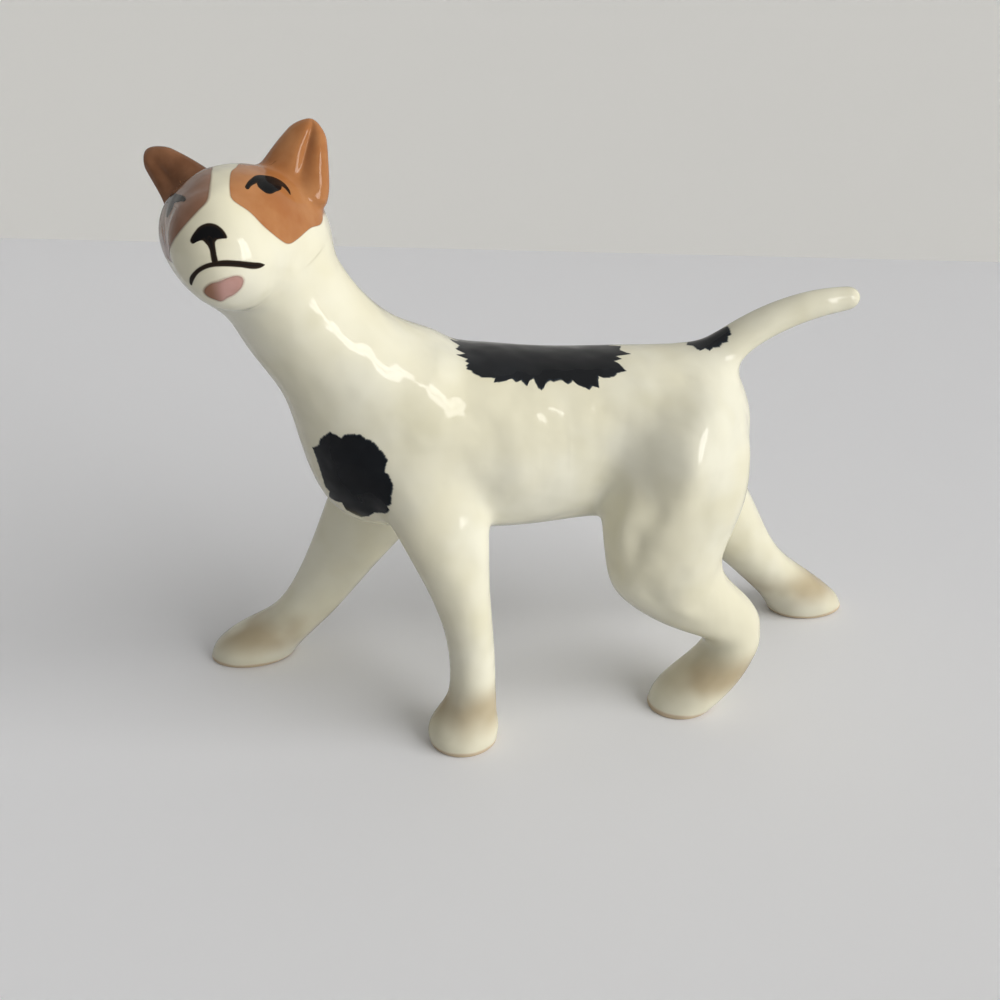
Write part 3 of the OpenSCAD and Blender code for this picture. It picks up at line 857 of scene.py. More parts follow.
@dataclass(kw_only=True)
class Casting(Piece):
    """One casting: a form whose skin is the fused surface, cut where it is luted on."""

    form: Form
    carrier: Form | None = None
    riders: tuple[Form, ...] = ()
    rings: int
    sides: int
    slot: str = "ivory_glaze"
    joint: float = 1.4
    overlap: float = 0.8
    tuck: float = 0.12
    tuck_fade: float = 0.8
    reach: float = 4.0
    halvings: int = 18
    kind: str = "casting"

    def shell(self, dog: Figurine) -> Shell:
        """The casting's closed skin.

        Args:
            dog: The figurine.

        Returns:
            The shell.
        """
        raise NotImplementedError

    def build(self, dog: Figurine) -> bpy.types.Object:
        """Makes the casting's mesh.

        Args:
            dog: The figurine.

        Returns:
            The object.
        """
        return shell_mesh(self.name, self.shell(dog))

    def turns(self) -> Array:
        """Turns around the form."""
        return 2 * np.pi * np.arange(self.sides) / self.sides

    def skin(self, dog: Figurine, u: Array, v: Array) -> Array:
        """Points of the skin: the base moved out to the fused surface, tucked in below riders.

        Args:
            dog: The figurine.
            u: Rows, in a flat array.
            v: Turns, in a flat array.

        Returns:
            The points.
        """
        base, out = self.form.base(u, v), self.form.out(u, v)
        far = settle(dog, base, out, self.reach)
        if self.riders:
            far = np.minimum(far, self.joint + self.overlap)
            at = base + far[:, None] * out
            own = self.form.distance(at)
            below = own - np.min([f.near(at) for f in self.riders], axis=0)
            far = far - self.tuck * ease(below / self.tuck_fade)
        return base + far[:, None] * out

    def grid(self, dog: Figurine, u: Array) -> Array:
        """Points of the skin over a grid of rows, with a column for each turn."""
        v = np.broadcast_to(self.turns(), u.shape)
        return self.skin(dog, u.ravel(), v.ravel()).reshape(*u.shape, 3)

    def seam(self, dog: Figurine, inner: float, outer: float) -> Array:
        """Row of the joint with the carrier at each turn, by bisection.

        Args:
            dog: The figurine.
            inner: A row inside the carrier.
            outer: A row clear of it.

        Returns:
            The row at which the skin is as far from the carrier as from the form itself.
        """
        v = self.turns()
        low, high = np.full(self.sides, float(inner)), np.full(self.sides, float(outer))
        for _ in range(self.halvings):
            mid = (low + high) / 2
            base, out = self.form.base(mid, v), self.form.out(mid, v)
            at = base + settle(dog, base, out, self.reach)[:, None] * out
            clear = self.carrier.distance(at) > self.form.distance(at)
            low, high = np.where(clear, low, mid), np.where(clear, mid, high)
        return (low + high) / 2

    def normals(self, dog: Figurine, points: Array) -> Array:
        """Normals of the fused surface at the points of a grid."""
        return gradient(dog.surface, points.reshape(-1, 3)).reshape(points.shape)


def fill_ring(ring: Array, middle: Array, steps: tuple[float, ...] = (0.35, 0.7)) -> list[Array]:
    """Rings that close a ring towards a point, and the point itself."""
    return [ring + (middle - ring) * s for s in steps] + [middle[None]]


class Torso(Casting):
    """Body and neck, from the rump's round end to the joint with the head."""

    neck_row: float = 6.5
    chest_row: float = 5.5

    def shell(self, dog: Figurine) -> Shell:
        """Rings from the rump up to the row where the head is luted on.

        Args:
            dog: The figurine.

        Returns:
            The shell.
        """
        top = self.seam(dog, dog.trunk.last, self.neck_row)
        rows = even_rows(self.form, 0.0, float(top.mean()), self.rings + 1)[1:]
        near_top = ease((rows - self.chest_row) / (rows[-1] - self.chest_row))
        u = rows[:, None] + near_top[:, None] * (top - rows[-1])[None]
        points = self.grid(dog, u)
        pole = self.skin(dog, np.array([POLE]), np.zeros(1))
        middle = dog.trunk.path(np.array([dog.trunk.last]))[0][0]
        return Shell(points, self.normals(dog, points), [pole], fill_ring(points[-1], middle))


class Head(Casting):
    """Head, from the back of the skull to the nose, painted tan around the ears' roots."""

    paint_reach: float = 1.6
    paint_fade: float = 0.7

    def shell(self, dog: Figurine) -> Shell:
        """Rings from pole to pole, with the share of tan paint at each point.

        Args:
            dog: The figurine.

        Returns:
            The shell.
        """
        rows = even_rows(self.form, 0.0, dog.skull.last, self.rings + 2)[1:-1]
        u = np.broadcast_to(rows[:, None], (len(rows), self.sides))
        points = self.grid(dog, u)
        ends = self.skin(dog, np.array([POLE, dog.skull.last - POLE]), np.zeros(2))
        flat = points.reshape(-1, 3)
        to_ear = np.minimum(dog.ears[1].near(flat), dog.ears[-1].near(flat))
        painted = ease((self.paint_reach - to_ear) / self.paint_fade).reshape(u.shape)
        return Shell(points, self.normals(dog, points), [ends[:1]], [ends[1:]],
                     {"ear_paint": painted})


@dataclass(kw_only=True)
class Limb(Casting):
    """An ear or the tail, from its joint to its round tip."""

    inner: float = 0.0
    outer: float = 2.2
    bulge: float = 0.06
    root_rate: float = 1.6

    def shell(self, dog: Figurine) -> Shell:
        """Rings from the row of the joint, between the inner and the outer row, to the tip.

        Args:
            dog: The figurine.

        Returns:
            The shell.
        """
        root = self.seam(dog, self.inner, self.outer)
        last = self.form.last
        rows = even_rows(self.form, float(root.mean()), last, self.rings + 1)[:-1]
        near_root = 1 - ease((rows - rows[0]) / (last - rows[0]) * self.root_rate)
        u = rows[:, None] + near_root[:, None] * (root - rows[0])[None]
        points = self.grid(dog, u)
        tip = self.form.base(np.array([last - POLE]), np.zeros(1))
        middle = points[0].mean(0) - (points[-1].mean(0) - points[0].mean(0)) * self.bulge
        return Shell(points, self.normals(dog, points), fill_ring(points[0], middle), [tip])


@dataclass(kw_only=True)
class LegCasting(Casting):
    """A leg, from its flat sole with a small round edge to its joint with the body."""

    edge: float = 0.5
    edge_rings: int = 5
    knee_row: float = 5.5
    belly_row: float = 3.0
    lean: float = 0.25

    def shell(self, dog: Figurine) -> Shell:
        """Rings from the sole up to the row where the leg is luted on.

        Args:
            dog: The figurine.

        Returns:
            The shell.
        """
        edge = self.edge
        heights = self.form.height(self.seam(dog, self.form.last, self.knee_row))
        turn = np.linspace(0, np.pi / 2, self.edge_rings)[:, None]
        bend = edge * (1 - np.cos(turn)) + 0 * heights
        share = np.linspace(0, 1, self.rings - self.edge_rings + 1)[1:, None]
        rest = edge + (heights - edge) * share
        z = np.concatenate([bend, rest])
        u = np.interp(z, self.form.table[:, 2], self.form.table_u)
        v = np.broadcast_to(self.turns(), u.shape).ravel()
        points = self.skin(dog, u.ravel(), v).reshape(*u.shape, 3)
        points[..., 2] = z
        inset = edge - np.sqrt(np.maximum(edge**2 - np.maximum(edge - z, 0) ** 2, 0))
        points = points - inset[..., None] * self.form.out(u.ravel(), v).reshape(*u.shape, 3)
        normals = self.normals(dog, points)
        down = np.clip((edge - z) / edge, 0, 1)[..., None]
        normals = unit(normals * np.sqrt(1 - down**2) - down * np.array([0, 0, 1.0]))
        sole = points[0].mean(0)
        middle = self.form.slice_at(np.array([float(heights.mean())]))[0][0, :3]
        inward = dog.trunk.path(np.array([self.belly_row]))[0][0] - middle
        middle = middle + inward * np.array([0, self.lean, 0])
        return Shell(points, normals, fill_ring(points[0], sole), fill_ring(points[-1], middle))


class Rays(Enum):
    """How a chart is laid on the figurine."""

    PARALLEL = "inward along one direction; the chart is in millimetres"
    FROM_MIDDLE = "outward from a middle; the chart is longitude and latitude in degrees"


@dataclass(frozen=True)
class Chart:
    """Flat chart in which a coat's outline is drawn, and its place on the figurine.

    The columns of the turn are the chart's first and second axes and its outward axis for
    parallel rays, and the forward, left and up axes of the middle otherwise. Below an ear the
    coat leaves the surface where it has climbed so far, and ends inside the ear's root.
    """

    middle: Array
    turned: Array
    rays: Rays
    climb: float = 1.3
    above: float = 14.0
    start: float = 9.0
    radius: float = 14.0
    strides: int = 13
    bare_strides: int = 8
    stride: float = 4.0
    caution: float = 0.9
    probe: float = 0.01
    least_slope: float = 0.05
    last_stride: float = 0.2

    def lay(self, dog: Figurine, chart: Array) -> Array:
        """Points of the fused surface under chart points.

        Args:
            dog: The figurine.
            chart: Chart points, one a row.

        Returns:
            Points, one a row.
        """
        if self.rays is Rays.PARALLEL:
            start = self.middle + chart @ self.turned[:, :2].T + self.above * self.turned[:, 2]
            way, sign = np.broadcast_to(-self.turned[:, 2], start.shape), 1
            far = np.zeros(len(chart))
        else:
            lon, lat = np.radians(chart).T
            local = np.stack([np.cos(lat) * np.cos(lon), np.cos(lat) * np.sin(lon),
                              np.sin(lat)], -1)
            start, way, sign = self.middle, local @ self.turned.T, -1
            far = np.full(len(chart), self.start)
        for _ in range(self.strides):
            gap = dog.surface(start + far[:, None] * way)
            far = far + self.caution * sign * np.clip(gap, -self.stride, self.stride)
        if sign < 0:
            bare = np.full(len(chart), self.start)
            for _ in range(self.bare_strides):
                gap = dog.skull.distance(start + bare[:, None] * way)
                bare = bare - np.clip(gap, -self.stride, self.stride)
            far = np.minimum(far, bare + self.climb)
        for _ in range(2):
            here = dog.surface(start + far[:, None] * way)
            there = dog.surface(start + (far + self.probe)[:, None] * way)
            slope = (there - here) / self.probe
            slope = np.where(np.abs(slope) > self.least_slope, slope, -sign * self.least_slope)
            far = far - np.clip(here / slope, -self.last_stride, self.last_stride)
        return start + far[:, None] * way

    def size(self) -> float:
        """Millimetres for one chart unit near the surface."""
        return 1.0 if self.rays is Rays.PARALLEL else math.radians(self.radius)


BRUSH_WAVES = ((61, 1.7, 1.0), (97, 3.4, 0.8), (149, 5.1, 0.7), (37, 8.5, 0.9))
BRUSH_HEIGHT = 3.4


def curve_through(points: Array, count: int, closed: bool, smooth: bool = True) -> Array:
    """Curve through points: a Catmull-Rom spline, or straight lines.

    Args:
        points: The points, one a row.
        count: Number of points returned, evenly spaced along the curve.
        closed: Whether the curve runs back to its start.
        smooth: Whether it is a spline.

    Returns:
        Points of the curve; a closed one leaves the repeated start out.
    """
    p = np.array(points, float)
    n = len(p)
    spans = n if closed else n - 1
    t = np.linspace(0, spans, 40 * n)
    i = np.minimum(t.astype(int), spans - 1)
    f = (t - i)[:, None]
    a, b, c, d = (p[(i + k) % n if closed else np.clip(i + k, 0, n - 1)] for k in (-1, 0, 1, 2))
    if smooth:
        square, cube = (2 * a - 5 * b + 4 * c - d) / 2, (3 * b - a - 3 * c + d) / 2
        fine = b + f * ((c - a) / 2 + f * (square + f * cube))
    else:
        fine = b + f * (c - b)
    length = lengths(fine[:, :2])
    even = np.linspace(0, length[-1], count, endpoint=not closed)
    return np.stack([np.interp(even, length, fine[:, k]) for k in range(p.shape[1])], -1)


def teeth(count: int, depth: float) -> Array:
    """Fine brush teeth around an outline: a sum of uneven waves between -depth and depth."""
    a = 2 * np.pi * np.arange(count) / count
    waves = sum(height * np.sin(rate * a + start) for rate, start, height in BRUSH_WAVES)
    return depth * waves / BRUSH_HEIGHT


@dataclass(frozen=True)
class Blot:
    """A filled outline around a middle from which all of it can be seen."""

    outline: tuple[tuple[float, float], ...]
    middle: tuple[float, float]
    sides: int = 360
    rings: int = 40
    smooth: bool = True
    brush: float = 0.0
    edge: float = 0.35
    crowding: float = 0.8

    def rings_of(self, size: float) -> tuple[Array, Array, Array]:
        """Chart points, heights and distances from the rim, in rings that grow to the rim.

        Args:
            size: Millimetres in a chart unit.

        Returns:
            Chart points of the rings, their share of the lift, and their way in from the rim.
        """
        middle = np.array(self.middle)
        edge = curve_through(self.outline, self.sides, True, self.smooth) - middle
        reach = np.linalg.norm(edge, axis=1, keepdims=True)
        edge = edge * (1 + teeth(self.sides, self.brush)[:, None] / (reach * size))
        r = np.linspace(0, 1, self.rings + 1)[1:] ** self.crowding
        chart = middle + r[:, None, None] * edge
        inward = (1 - r)[:, None] * reach[:, 0] * size
        return chart, ease(inward / self.edge), inward


@dataclass(frozen=True)
class Stroke:
    """A brush stroke: chart points with half widths, rounded at both ends."""

    path: tuple[tuple[float, float, float], ...]
    along: int = 120
    across: int = 12
    fine: int = 400
    tip: float = 0.06
    least_end: float = 0.05
    tip_sink: float = 0.02


@dataclass(kw_only=True)
class Coat(Piece):
    """A thin coat of underglaze paint in blots and strokes on one chart."""

    chart: Chart
    marks: tuple[Blot | Stroke, ...]
    lift: float = 0.035
    depth: float = 0.12
    soft: float = 0.3
    stroke_edge: float = 0.25
    kind: str = "paint"

    def build(self, dog: Figurine) -> bpy.types.Object:
        """Makes the coat's mesh, one closed skin for each mark.

        Args:
            dog: The figurine.

        Returns:
            The object.
        """
        shells = [self._blot(dog, mark) if isinstance(mark, Blot) else self._stroke(dog, mark)
                  for mark in self.marks]
        return shell_mesh(self.name, *shells)

    def _laid(self, dog: Figurine, chart: Array) -> tuple[Array, Array]:
        """Points and normals of the surface under a grid of chart points."""
        flat = self.chart.lay(dog, chart.reshape(-1, 2))
        normals = gradient(dog.surface, flat)
        return flat.reshape(*chart.shape[:-1], 3), normals.reshape(*chart.shape[:-1], 3)

    def _blot(self, dog: Figurine, blot: Blot) -> Shell:
        """Closed skin of a blot: its rings on top, some of them again below."""
        chart, share, inward = blot.rings_of(self.chart.size())
        points, normals = self._laid(dog, chart)
        middle, up = self._laid(dog, np.array(blot.middle)[None, None])
        low = slice(-2, None, -8)
        grid = np.concatenate([points + self.lift * share[..., None] * normals,
                               points[low] - self.depth * normals[low]])
        cover = np.concatenate([ease(inward / self.soft), 0 * inward[low] + 1])
        return Shell(grid, np.concatenate([normals, -normals[low]]), [(middle + self.lift * up)[0]],
                     [(middle - self.depth * up)[0]], {"cover": cover, "rim": np.concatenate(
                         [inward, inward[low]])})

    def _stroke(self, dog: Figurine, stroke: Stroke) -> Shell:
        """Closed skin of a stroke: across the top from rim to rim, and back below."""
        fine = curve_through(stroke.path, stroke.fine, False)
        size = self.chart.size()
        length = lengths(fine[:, :2])
        ends = (fine[0, 2], fine[-1, 2])
        turn = np.linspace(stroke.tip, np.pi - stroke.tip, stroke.along)
        at = length[-1] * (1 - np.cos(turn)) / 2
        path = np.stack([np.interp(at, length, fine[:, k]) for k in range(3)], -1)
        half = path[:, 2]
        for end, reach in zip(ends, (at, length[-1] - at)):
            half = half * np.sqrt(1 - np.clip(1 - reach / max(end, stroke.least_end), 0, 1) ** 2)
        along = np.gradient(path[:, :2], axis=0)
        beside = unit(along[:, ::-1] * [-1, 1])
        w = np.linspace(-1, 1, 2 * stroke.across + 1)
        chart = path[:, None, :2] + (w[None, :, None] * half[:, None, None]) * beside[:, None]
        points, normals = self._laid(dog, chart)
        back = slice(-5, 3, -4)
        inward = (1 - np.abs(w)) * half[:, None] * size
        share = ease(inward / self.stroke_edge)[..., None]
        grid = np.concatenate([points + self.lift * share * normals,
                               points[:, back] - self.depth * normals[:, back]], 1)
        cover = np.concatenate([ease(inward / self.soft), 0 * inward[:, back] + 1], 1)
        tips, up = self._laid(dog, fine[[0, -1], :2][None])
        tips = (tips - stroke.tip_sink * up)[0]
        return Shell(grid, np.concatenate([normals, -normals[:, back]], 1), [tips[:1]], [tips[1:]],
                     {"cover": cover, "rim": np.concatenate([inward, inward[:, back]], 1)})


BACK_NEAR = (
    (-16, -3), (-14.4, -3.8), (-16.3, -5.1), (-14.1, -5.4), (-14.8, -6.3), (-14.1, -6.7),
    (-14.8, -7.4), (-14.4, -7.7), (-14.9, -8.3), (-14, -8.4), (-13.5, -8.9), (-12, -9.5),
    (-9.5, -9.3), (-10, -10.2), (-8.3, -9.9), (-6.4, -9.2), (-5.6, -9.7), (-4.5, -9.3),
    (-3.6, -10.3), (-2.8, -9.1), (-2.1, -8.8), (-1.5, -10.3), (-0.8, -10.7), (0.2, -9.6),
    (1.1, -9), (2.2, -9.1), (3.3, -8.7), (4.5, -9.5), (5.6, -8.8), (6.4, -9.5), (7.7, -9.9),
    (8.6, -10.2), (9.5, -9.7), (10.5, -9.9), (10.9, -7.9), (11.8, -8.3), (14, -8.1), (14.8, -7.4),
    (16.7, -7), (15.5, -5.2), (14.9, -4.6), (16.6, -4.1), (15.5, -3.2), (18.8, -2.6), (16.9, -0.9))
BACK_FAR = (
    (17.9, 1.5), (15.6, 2.6), (17.2, 4.2), (14.8, 5), (15.9, 6.8), (13.2, 7.4), (11, 8.6),
    (9.6, 7.9), (7.5, 9.4), (5.8, 8.5), (3.6, 9.7), (1.5, 8.6), (-1, 9.6), (-3, 8.7), (-5.5, 9.5),
    (-8, 8.6), (-10.5, 9.2), (-12, 7.9), (-14.2, 7.4), (-13.6, 5.4), (-15.8, 4.6), (-14.6, 2.6),
    (-16.9, 1.4), (-15, -0.6))
CHEST = (
    (-5.3, 4.8), (-4.9, 3.1), (-4.4, -0.5), (-4.2, -2.7), (-4.1, -4.5), (-3.2, -5.1), (-4, -7.4),
    (-2.4, -7.6), (-0.6, -7.2), (-0.3, -9.3), (0.9, -9.8), (2.7, -10.6), (4.8, -9.5), (6.3, -7.9),
    (9.4, -6.6), (10.2, -5.5), (9.8, -4.7), (10.7, -4.1), (10.8, -2.4), (11.3, -0.2), (10.9, 1.1),
    (10.4, 2.1), (9.7, 2.7), (9.9, 3.7), (10.3, 4.9), (9.6, 6.2), (8.7, 7.2), (8, 8.2), (7.3, 8.7),
    (6.3, 9.1), (5.4, 9.9), (3.8, 9.9), (2.7, 9.8), (1.6, 8.9), (0.9, 9.4), (-0.4, 9.9), (-1.5, 9),
    (-2.8, 7.8), (-3.6, 6))
TAIL = (
    (-3.2, 0.2), (-2.4, -0.7), (-2.3, -2.2), (-2, -2.8), (-1, -2.5), (-0.7, -3.3), (0.2, -2.9),
    (1.2, -3.2), (2.2, -2.8), (3.1, -3), (4, -2.2), (4.6, -2.3), (5.2, -1), (5.3, 0.5), (3.6, 1.4),
    (1.4, 2.4), (-0.6, 2.8), (-2.5, 2.7))
NEAR_MASK = (
    (19.5, 37), (16.6, 25.4), (15, 12), (16, 4.2), (24.5, -3.4), (32.7, -12.7), (45.2, -20.9),
    (56, -23.7), (67.7, -19.6), (85.4, -8.9), (100, -3), (106, 6), (97, 18), (93, 36), (88, 58),
    (62, 73), (38, 62), (25, 45))
FAR_MASK = (
    (-1, 55), (4, 34), (5, 18), (4.5, 6), (-1, 0), (-11, -7), (-24, -14), (-40, -20.5),
    (-56, -23.5), (-70, -19), (-86, -9), (-100, -3), (-106, 6), (-96, 18), (-88, 36), (-76, 54),
    (-50, 65), (-14, 63))
NEAR_LID = (
    (27, 15, 2), (30, 19.5, 2.3), (35.5, 24.5, 3.2), (44, 29.5, 4.6), (54, 31, 5.2),
    (62.5, 30.5, 5.8), (68.6, 28, 5.4), (71, 24, 3.8), (71.3, 20.5, 2.6), (70.8, 16.5, 0.7))
NEAR_PUPIL = (
    (36.7, 19), (39.1, 15.6), (42.5, 13.2), (47.5, 13.5), (54, 16.5), (63, 21), (66, 27), (56, 32),
    (44, 30), (38, 25))
FAR_LID = (
    (-11, 9.4, 1.6), (-15, 13, 2.4), (-22, 17, 3.6), (-33, 22.5, 4.6), (-47, 29, 4.8),
    (-60, 32, 4.2), (-70, 29, 2.8), (-74, 22, 1.6), (-74, 16, 0.5))
FAR_PUPIL = (
    (-26, 13), (-30, 8.8), (-38, 9), (-45, 11.5), (-51, 16.5), (-52, 24), (-44, 27), (-34, 24),
    (-28, 18))
NOSE_CAP = (
    (-8.6, -13.6), (-7.5, -11.8), (-5.5, -9.9), (-3, -8), (-0.2, -7), (2.9, -6.9), (6.2, -8.2),
    (8.7, -10.6), (10.2, -13.3), (10.5, -15.7), (7.8, -15.7), (5.8, -15.8), (4.2, -16.9),
    (2, -17.6), (0.1, -17.1), (-2, -14.8), (-4.7, -14.8), (-7.4, -15.2))
PHILTRUM = ((1.8, -13, 2.8), (2.2, -16.5, 2.3), (2.4, -19.5, 1.8), (2.2, -22.5, 1.8), (2, -26, 2))
MOUTH = (
    (-19, -34, 1), (-15.2, -30.8, 1.5), (-9.6, -27.9, 1.3), (-4.4, -26.4, 1.3), (0.7, -26, 1.4),
    (6.7, -26.6, 1.7), (14, -28.4, 1.75), (20.3, -30.4, 1.9), (25.1, -31.4, 1.6),
    (28.7, -31.9, 0.4))
LIP = (
    (-13.3, -38.3), (-10.3, -35.6), (-5.6, -33.5), (-0.4, -32.8), (5.3, -32.4), (10.8, -32.5),
    (14.4, -33.8), (15.6, -36.2), (14.3, -39.2), (11.8, -41.5), (6.9, -44.2), (1.3, -45.7),
    (-5.5, -46.9), (-9.4, -44.8), (-13.1, -41.6))


class Term:
    """A shader value that Python expressions can use."""

    def __init__(self, recipe: "Recipe", socket: bpy.types.NodeSocket) -> None:
        """Wraps an output socket.

        Args:
            recipe: The recipe that holds the nodes.
            socket: The socket.
        """
        self.recipe = recipe
        self.socket = socket

    def __add__(self, other: "Term | float") -> "Term":
        """Sum."""
        return self.recipe.math("ADD", self, other)

    def __mul__(self, other: "Term | float") -> "Term":
        """Product."""
        return self.recipe.math("MULTIPLY", self, other)

    def rising(self, low: float, high: float) -> "Term":
        """Smooth step from 0 at one value to 1 at another.

        Args:
            low: Where it is 0.
            high: Where it is 1; less than low for a fall.

        Returns:
            The share.
        """
        return self.recipe.node("ShaderNodeMapRange", {"interpolation_type": "SMOOTHSTEP"},
                                {"Value": self, "From Min": low, "From Max": high}, "Result")


Colour = tuple[float, float, float]


@dataclass(frozen=True)
class Clouds:
    """A cloudy noise: clouds in a metre, octaves, strength of the finer ones, and its seed."""

    scale: float
    octaves: float
    rough: float
    seed: float


class Recipe:
    """Nodes of one material, made by Python expressions."""

    def __init__(self, name: str) -> None:
        """Starts a material with a plain shader.

        Args:
            name: Its name.
        """
        self.material = bpy.data.materials.new(name)
        self.material.use_nodes = True
        self.tree = self.material.node_tree
        self.shader = self.tree.nodes["Principled BSDF"]

    def node(self, kind: str, settings: dict, inputs: dict, output: str) -> Term:
        """Adds a node.

        Args:
            kind: Its type.
            settings: Properties to set first.
            inputs: Values or terms for its inputs, by name or place.
            output: Name or place of its output.

        Returns:
            The output.
        """
        node = self.tree.nodes.new(kind)
        for key, value in settings.items():
            setattr(node, key, value)
        for key, value in inputs.items():
            self.feed(node.inputs[key], value)
        return Term(self, node.outputs[output])

    def feed(self, socket: bpy.types.NodeSocket, value: "Term | float | tuple") -> None:
        """Sets or links an input.

        Args:
            socket: The input.
            value: A term to link, or a constant.
        """
        if isinstance(value, Term):
            self.tree.links.new(value.socket, socket)
        elif isinstance(value, tuple) and len(value) == 3 and socket.type == "RGBA":
            socket.default_value = (*value, 1.0)
        else:
            socket.default_value = value

    def math(self, operation: str, a: Term | float, b: Term | float) -> Term:
        """Arithmetic of two values."""
        return self.node("ShaderNodeMath", {"operation": operation}, {0: a, 1: b}, "Value")

    def mix(self, share: Term | float, a: Term | Colour, b: Term | Colour) -> Term:
        """Mix of two colours.

        Args:
            share: Share of the second colour.
            a: First colour.
            b: Second colour.

        Returns:
            The colour.
        """
        return self.node("ShaderNodeMix", {"data_type": "RGBA", "clamp_factor": True},
                         {0: share, 6: a, 7: b}, 2)

    def noise(self, clouds: Clouds) -> Term:
        """Cloudy noise over the piece's own coordinates, around one half.

        Args:
            clouds: Its settings.

        Returns:
            The noise.
        """
        inputs = {"Vector": self.place(), "W": clouds.seed, "Scale": clouds.scale,
                  "Detail": clouds.octaves, "Roughness": clouds.rough}
        return self.node("ShaderNodeTexNoise", {"noise_dimensions": "4D"}, inputs, "Fac")

    def place(self) -> Term:
        """The piece's own coordinates, in metres."""
        return self.node("ShaderNodeTexCoord", {}, {}, "Object")

    def axis(self, name: str) -> Term:
        """One of the piece's own coordinates, in millimetres."""
        return self.node("ShaderNodeSeparateXYZ", {}, {"Vector": self.place()}, name) * 1000.0

    def stored(self, name: str) -> Term:
        """A value kept at the points of the mesh."""
        return self.node("ShaderNodeAttribute", {"attribute_name": name}, {}, "Fac")

    def bump(self, height: Term, depth: float) -> Term:
        """Normal bent by a height, whose range of 1 stands for a depth in millimetres."""
        return self.node("ShaderNodeBump", {}, {"Height": height, "Strength": 1.0,
                                                "Distance": depth * MM}, "Normal")

    def finish(self, **inputs: "Term | float | Colour") -> bpy.types.Material:
        """Feeds the shader's inputs, with underscores for spaces, and returns the material."""
        for key, value in inputs.items():
            self.feed(self.shader.inputs[key.replace("_", " ")], value)
        return self.material


@dataclass(frozen=True)
class Glaze:
    """The clear glaze over everything: its gloss, its gentle waves and its fine unevenness."""

    gloss: float = 0.05
    dull: float = 0.05
    bare_dull: float = 0.6
    wave_depth: float = 1.1
    ripple_share: float = 0.016
    waves: Clouds = Clouds(110.0, 1.5, 0.45, 3.0)
    ripple: Clouds = Clouds(330.0, 2.0, 0.5, 5.0)
    haze: Clouds = Clouds(140.0, 2.0, 0.5, 8.0)

    def over(self, r: Recipe, bare: Term | float = 0.0, **inputs: "Term | float | Colour",
             ) -> bpy.types.Material:
        """Finishes a recipe under the glaze.

        Args:
            r: The recipe.
            bare: Share of the surface that the glaze leaves bare and rough.
            inputs: What lies below the glaze.

        Returns:
            The material.
        """
        waves = r.noise(self.waves)
        ripple = r.noise(self.ripple) * self.ripple_share
        dull = r.noise(self.haze) * self.dull
        roughness = dull + bare * self.bare_dull + self.gloss
        normal = r.bump(waves + ripple, self.wave_depth)
        return r.finish(**({"Normal": normal, "Roughness": roughness} | inputs))


GLAZE = Glaze()


@dataclass(frozen=True)
class Ivory:
    """Cream body glaze, stained brown at the feet, bare and buff at the rims of the soles."""

    cream: Colour = (0.82, 0.785, 0.61)
    pale: Colour = (0.87, 0.85, 0.71)
    thick: Colour = (0.72, 0.68, 0.47)
    stain: Colour = (0.42, 0.32, 0.18)
    bare: Colour = (0.56, 0.43, 0.28)
    speck: Colour = (0.10, 0.07, 0.04)
    rim_height: float = 1.15
    rim_fade: float = 0.6
    rim_share: float = 0.85
    stain_top: float = 16.0
    stain_full: float = 9.0
    stain_share: float = 0.6
    wiped: tuple[float, float] = (2.0, 8.0)
    pale_clouds: Clouds = Clouds(42.0, 3.0, 0.5, 1.0)
    thick_clouds: Clouds = Clouds(75.0, 2.0, 0.5, 6.0)
    thick_share: float = 0.35
    stain_clouds: Clouds = Clouds(85.0, 1.5, 0.5, 2.0)
    rim_clouds: Clouds = Clouds(220.0, 2.0, 0.5, 9.0)
    speck_cells: float = 110.0
    speck_size: float = 0.035
    ear_tan: Colour = (0.43, 0.175, 0.06)

    def material(self, name: str) -> bpy.types.Material:
        """Builds the finish.

        Args:
            name: Its name.

        Returns:
            The material.
        """
        r = Recipe(name)
        colour = r.mix(r.noise(self.pale_clouds).rising(0.38, 0.66), self.cream, self.pale)
        thick = r.noise(self.thick_clouds).rising(0.5, 0.72) * self.thick_share
        colour = r.mix(thick, colour, self.thick)
        z = r.axis("Z")
        low = z.rising(self.stain_top, self.stain_full) * (z.rising(*self.wiped) * 0.85 + 0.15)
        dirt = low * (r.noise(self.stain_clouds).rising(0.3, 0.62) + 0.3)
        colour = r.mix(dirt * self.stain_share, colour, self.stain)
        cells = {"Vector": r.place(), "Scale": self.speck_cells}
        cell, lone = (r.node("ShaderNodeTexVoronoi", {}, cells, part)
                      for part in ("Distance", "Color"))
        pick = r.node("ShaderNodeSeparateXYZ", {}, {"Vector": lone}, "X").rising(0.93, 0.95)
        colour = r.mix(cell.rising(self.speck_size, 0.02) * pick, colour, self.speck)
        colour = r.mix(r.stored("ear_paint"), colour, self.ear_tan)
        edge = z + r.noise(self.rim_clouds) * 0.8
        bare = edge.rising(self.rim_height + self.rim_fade, self.rim_height)
        colour = r.mix(bare * self.rim_share, colour, self.bare)
        return GLAZE.over(r, bare, Base_Color=colour)


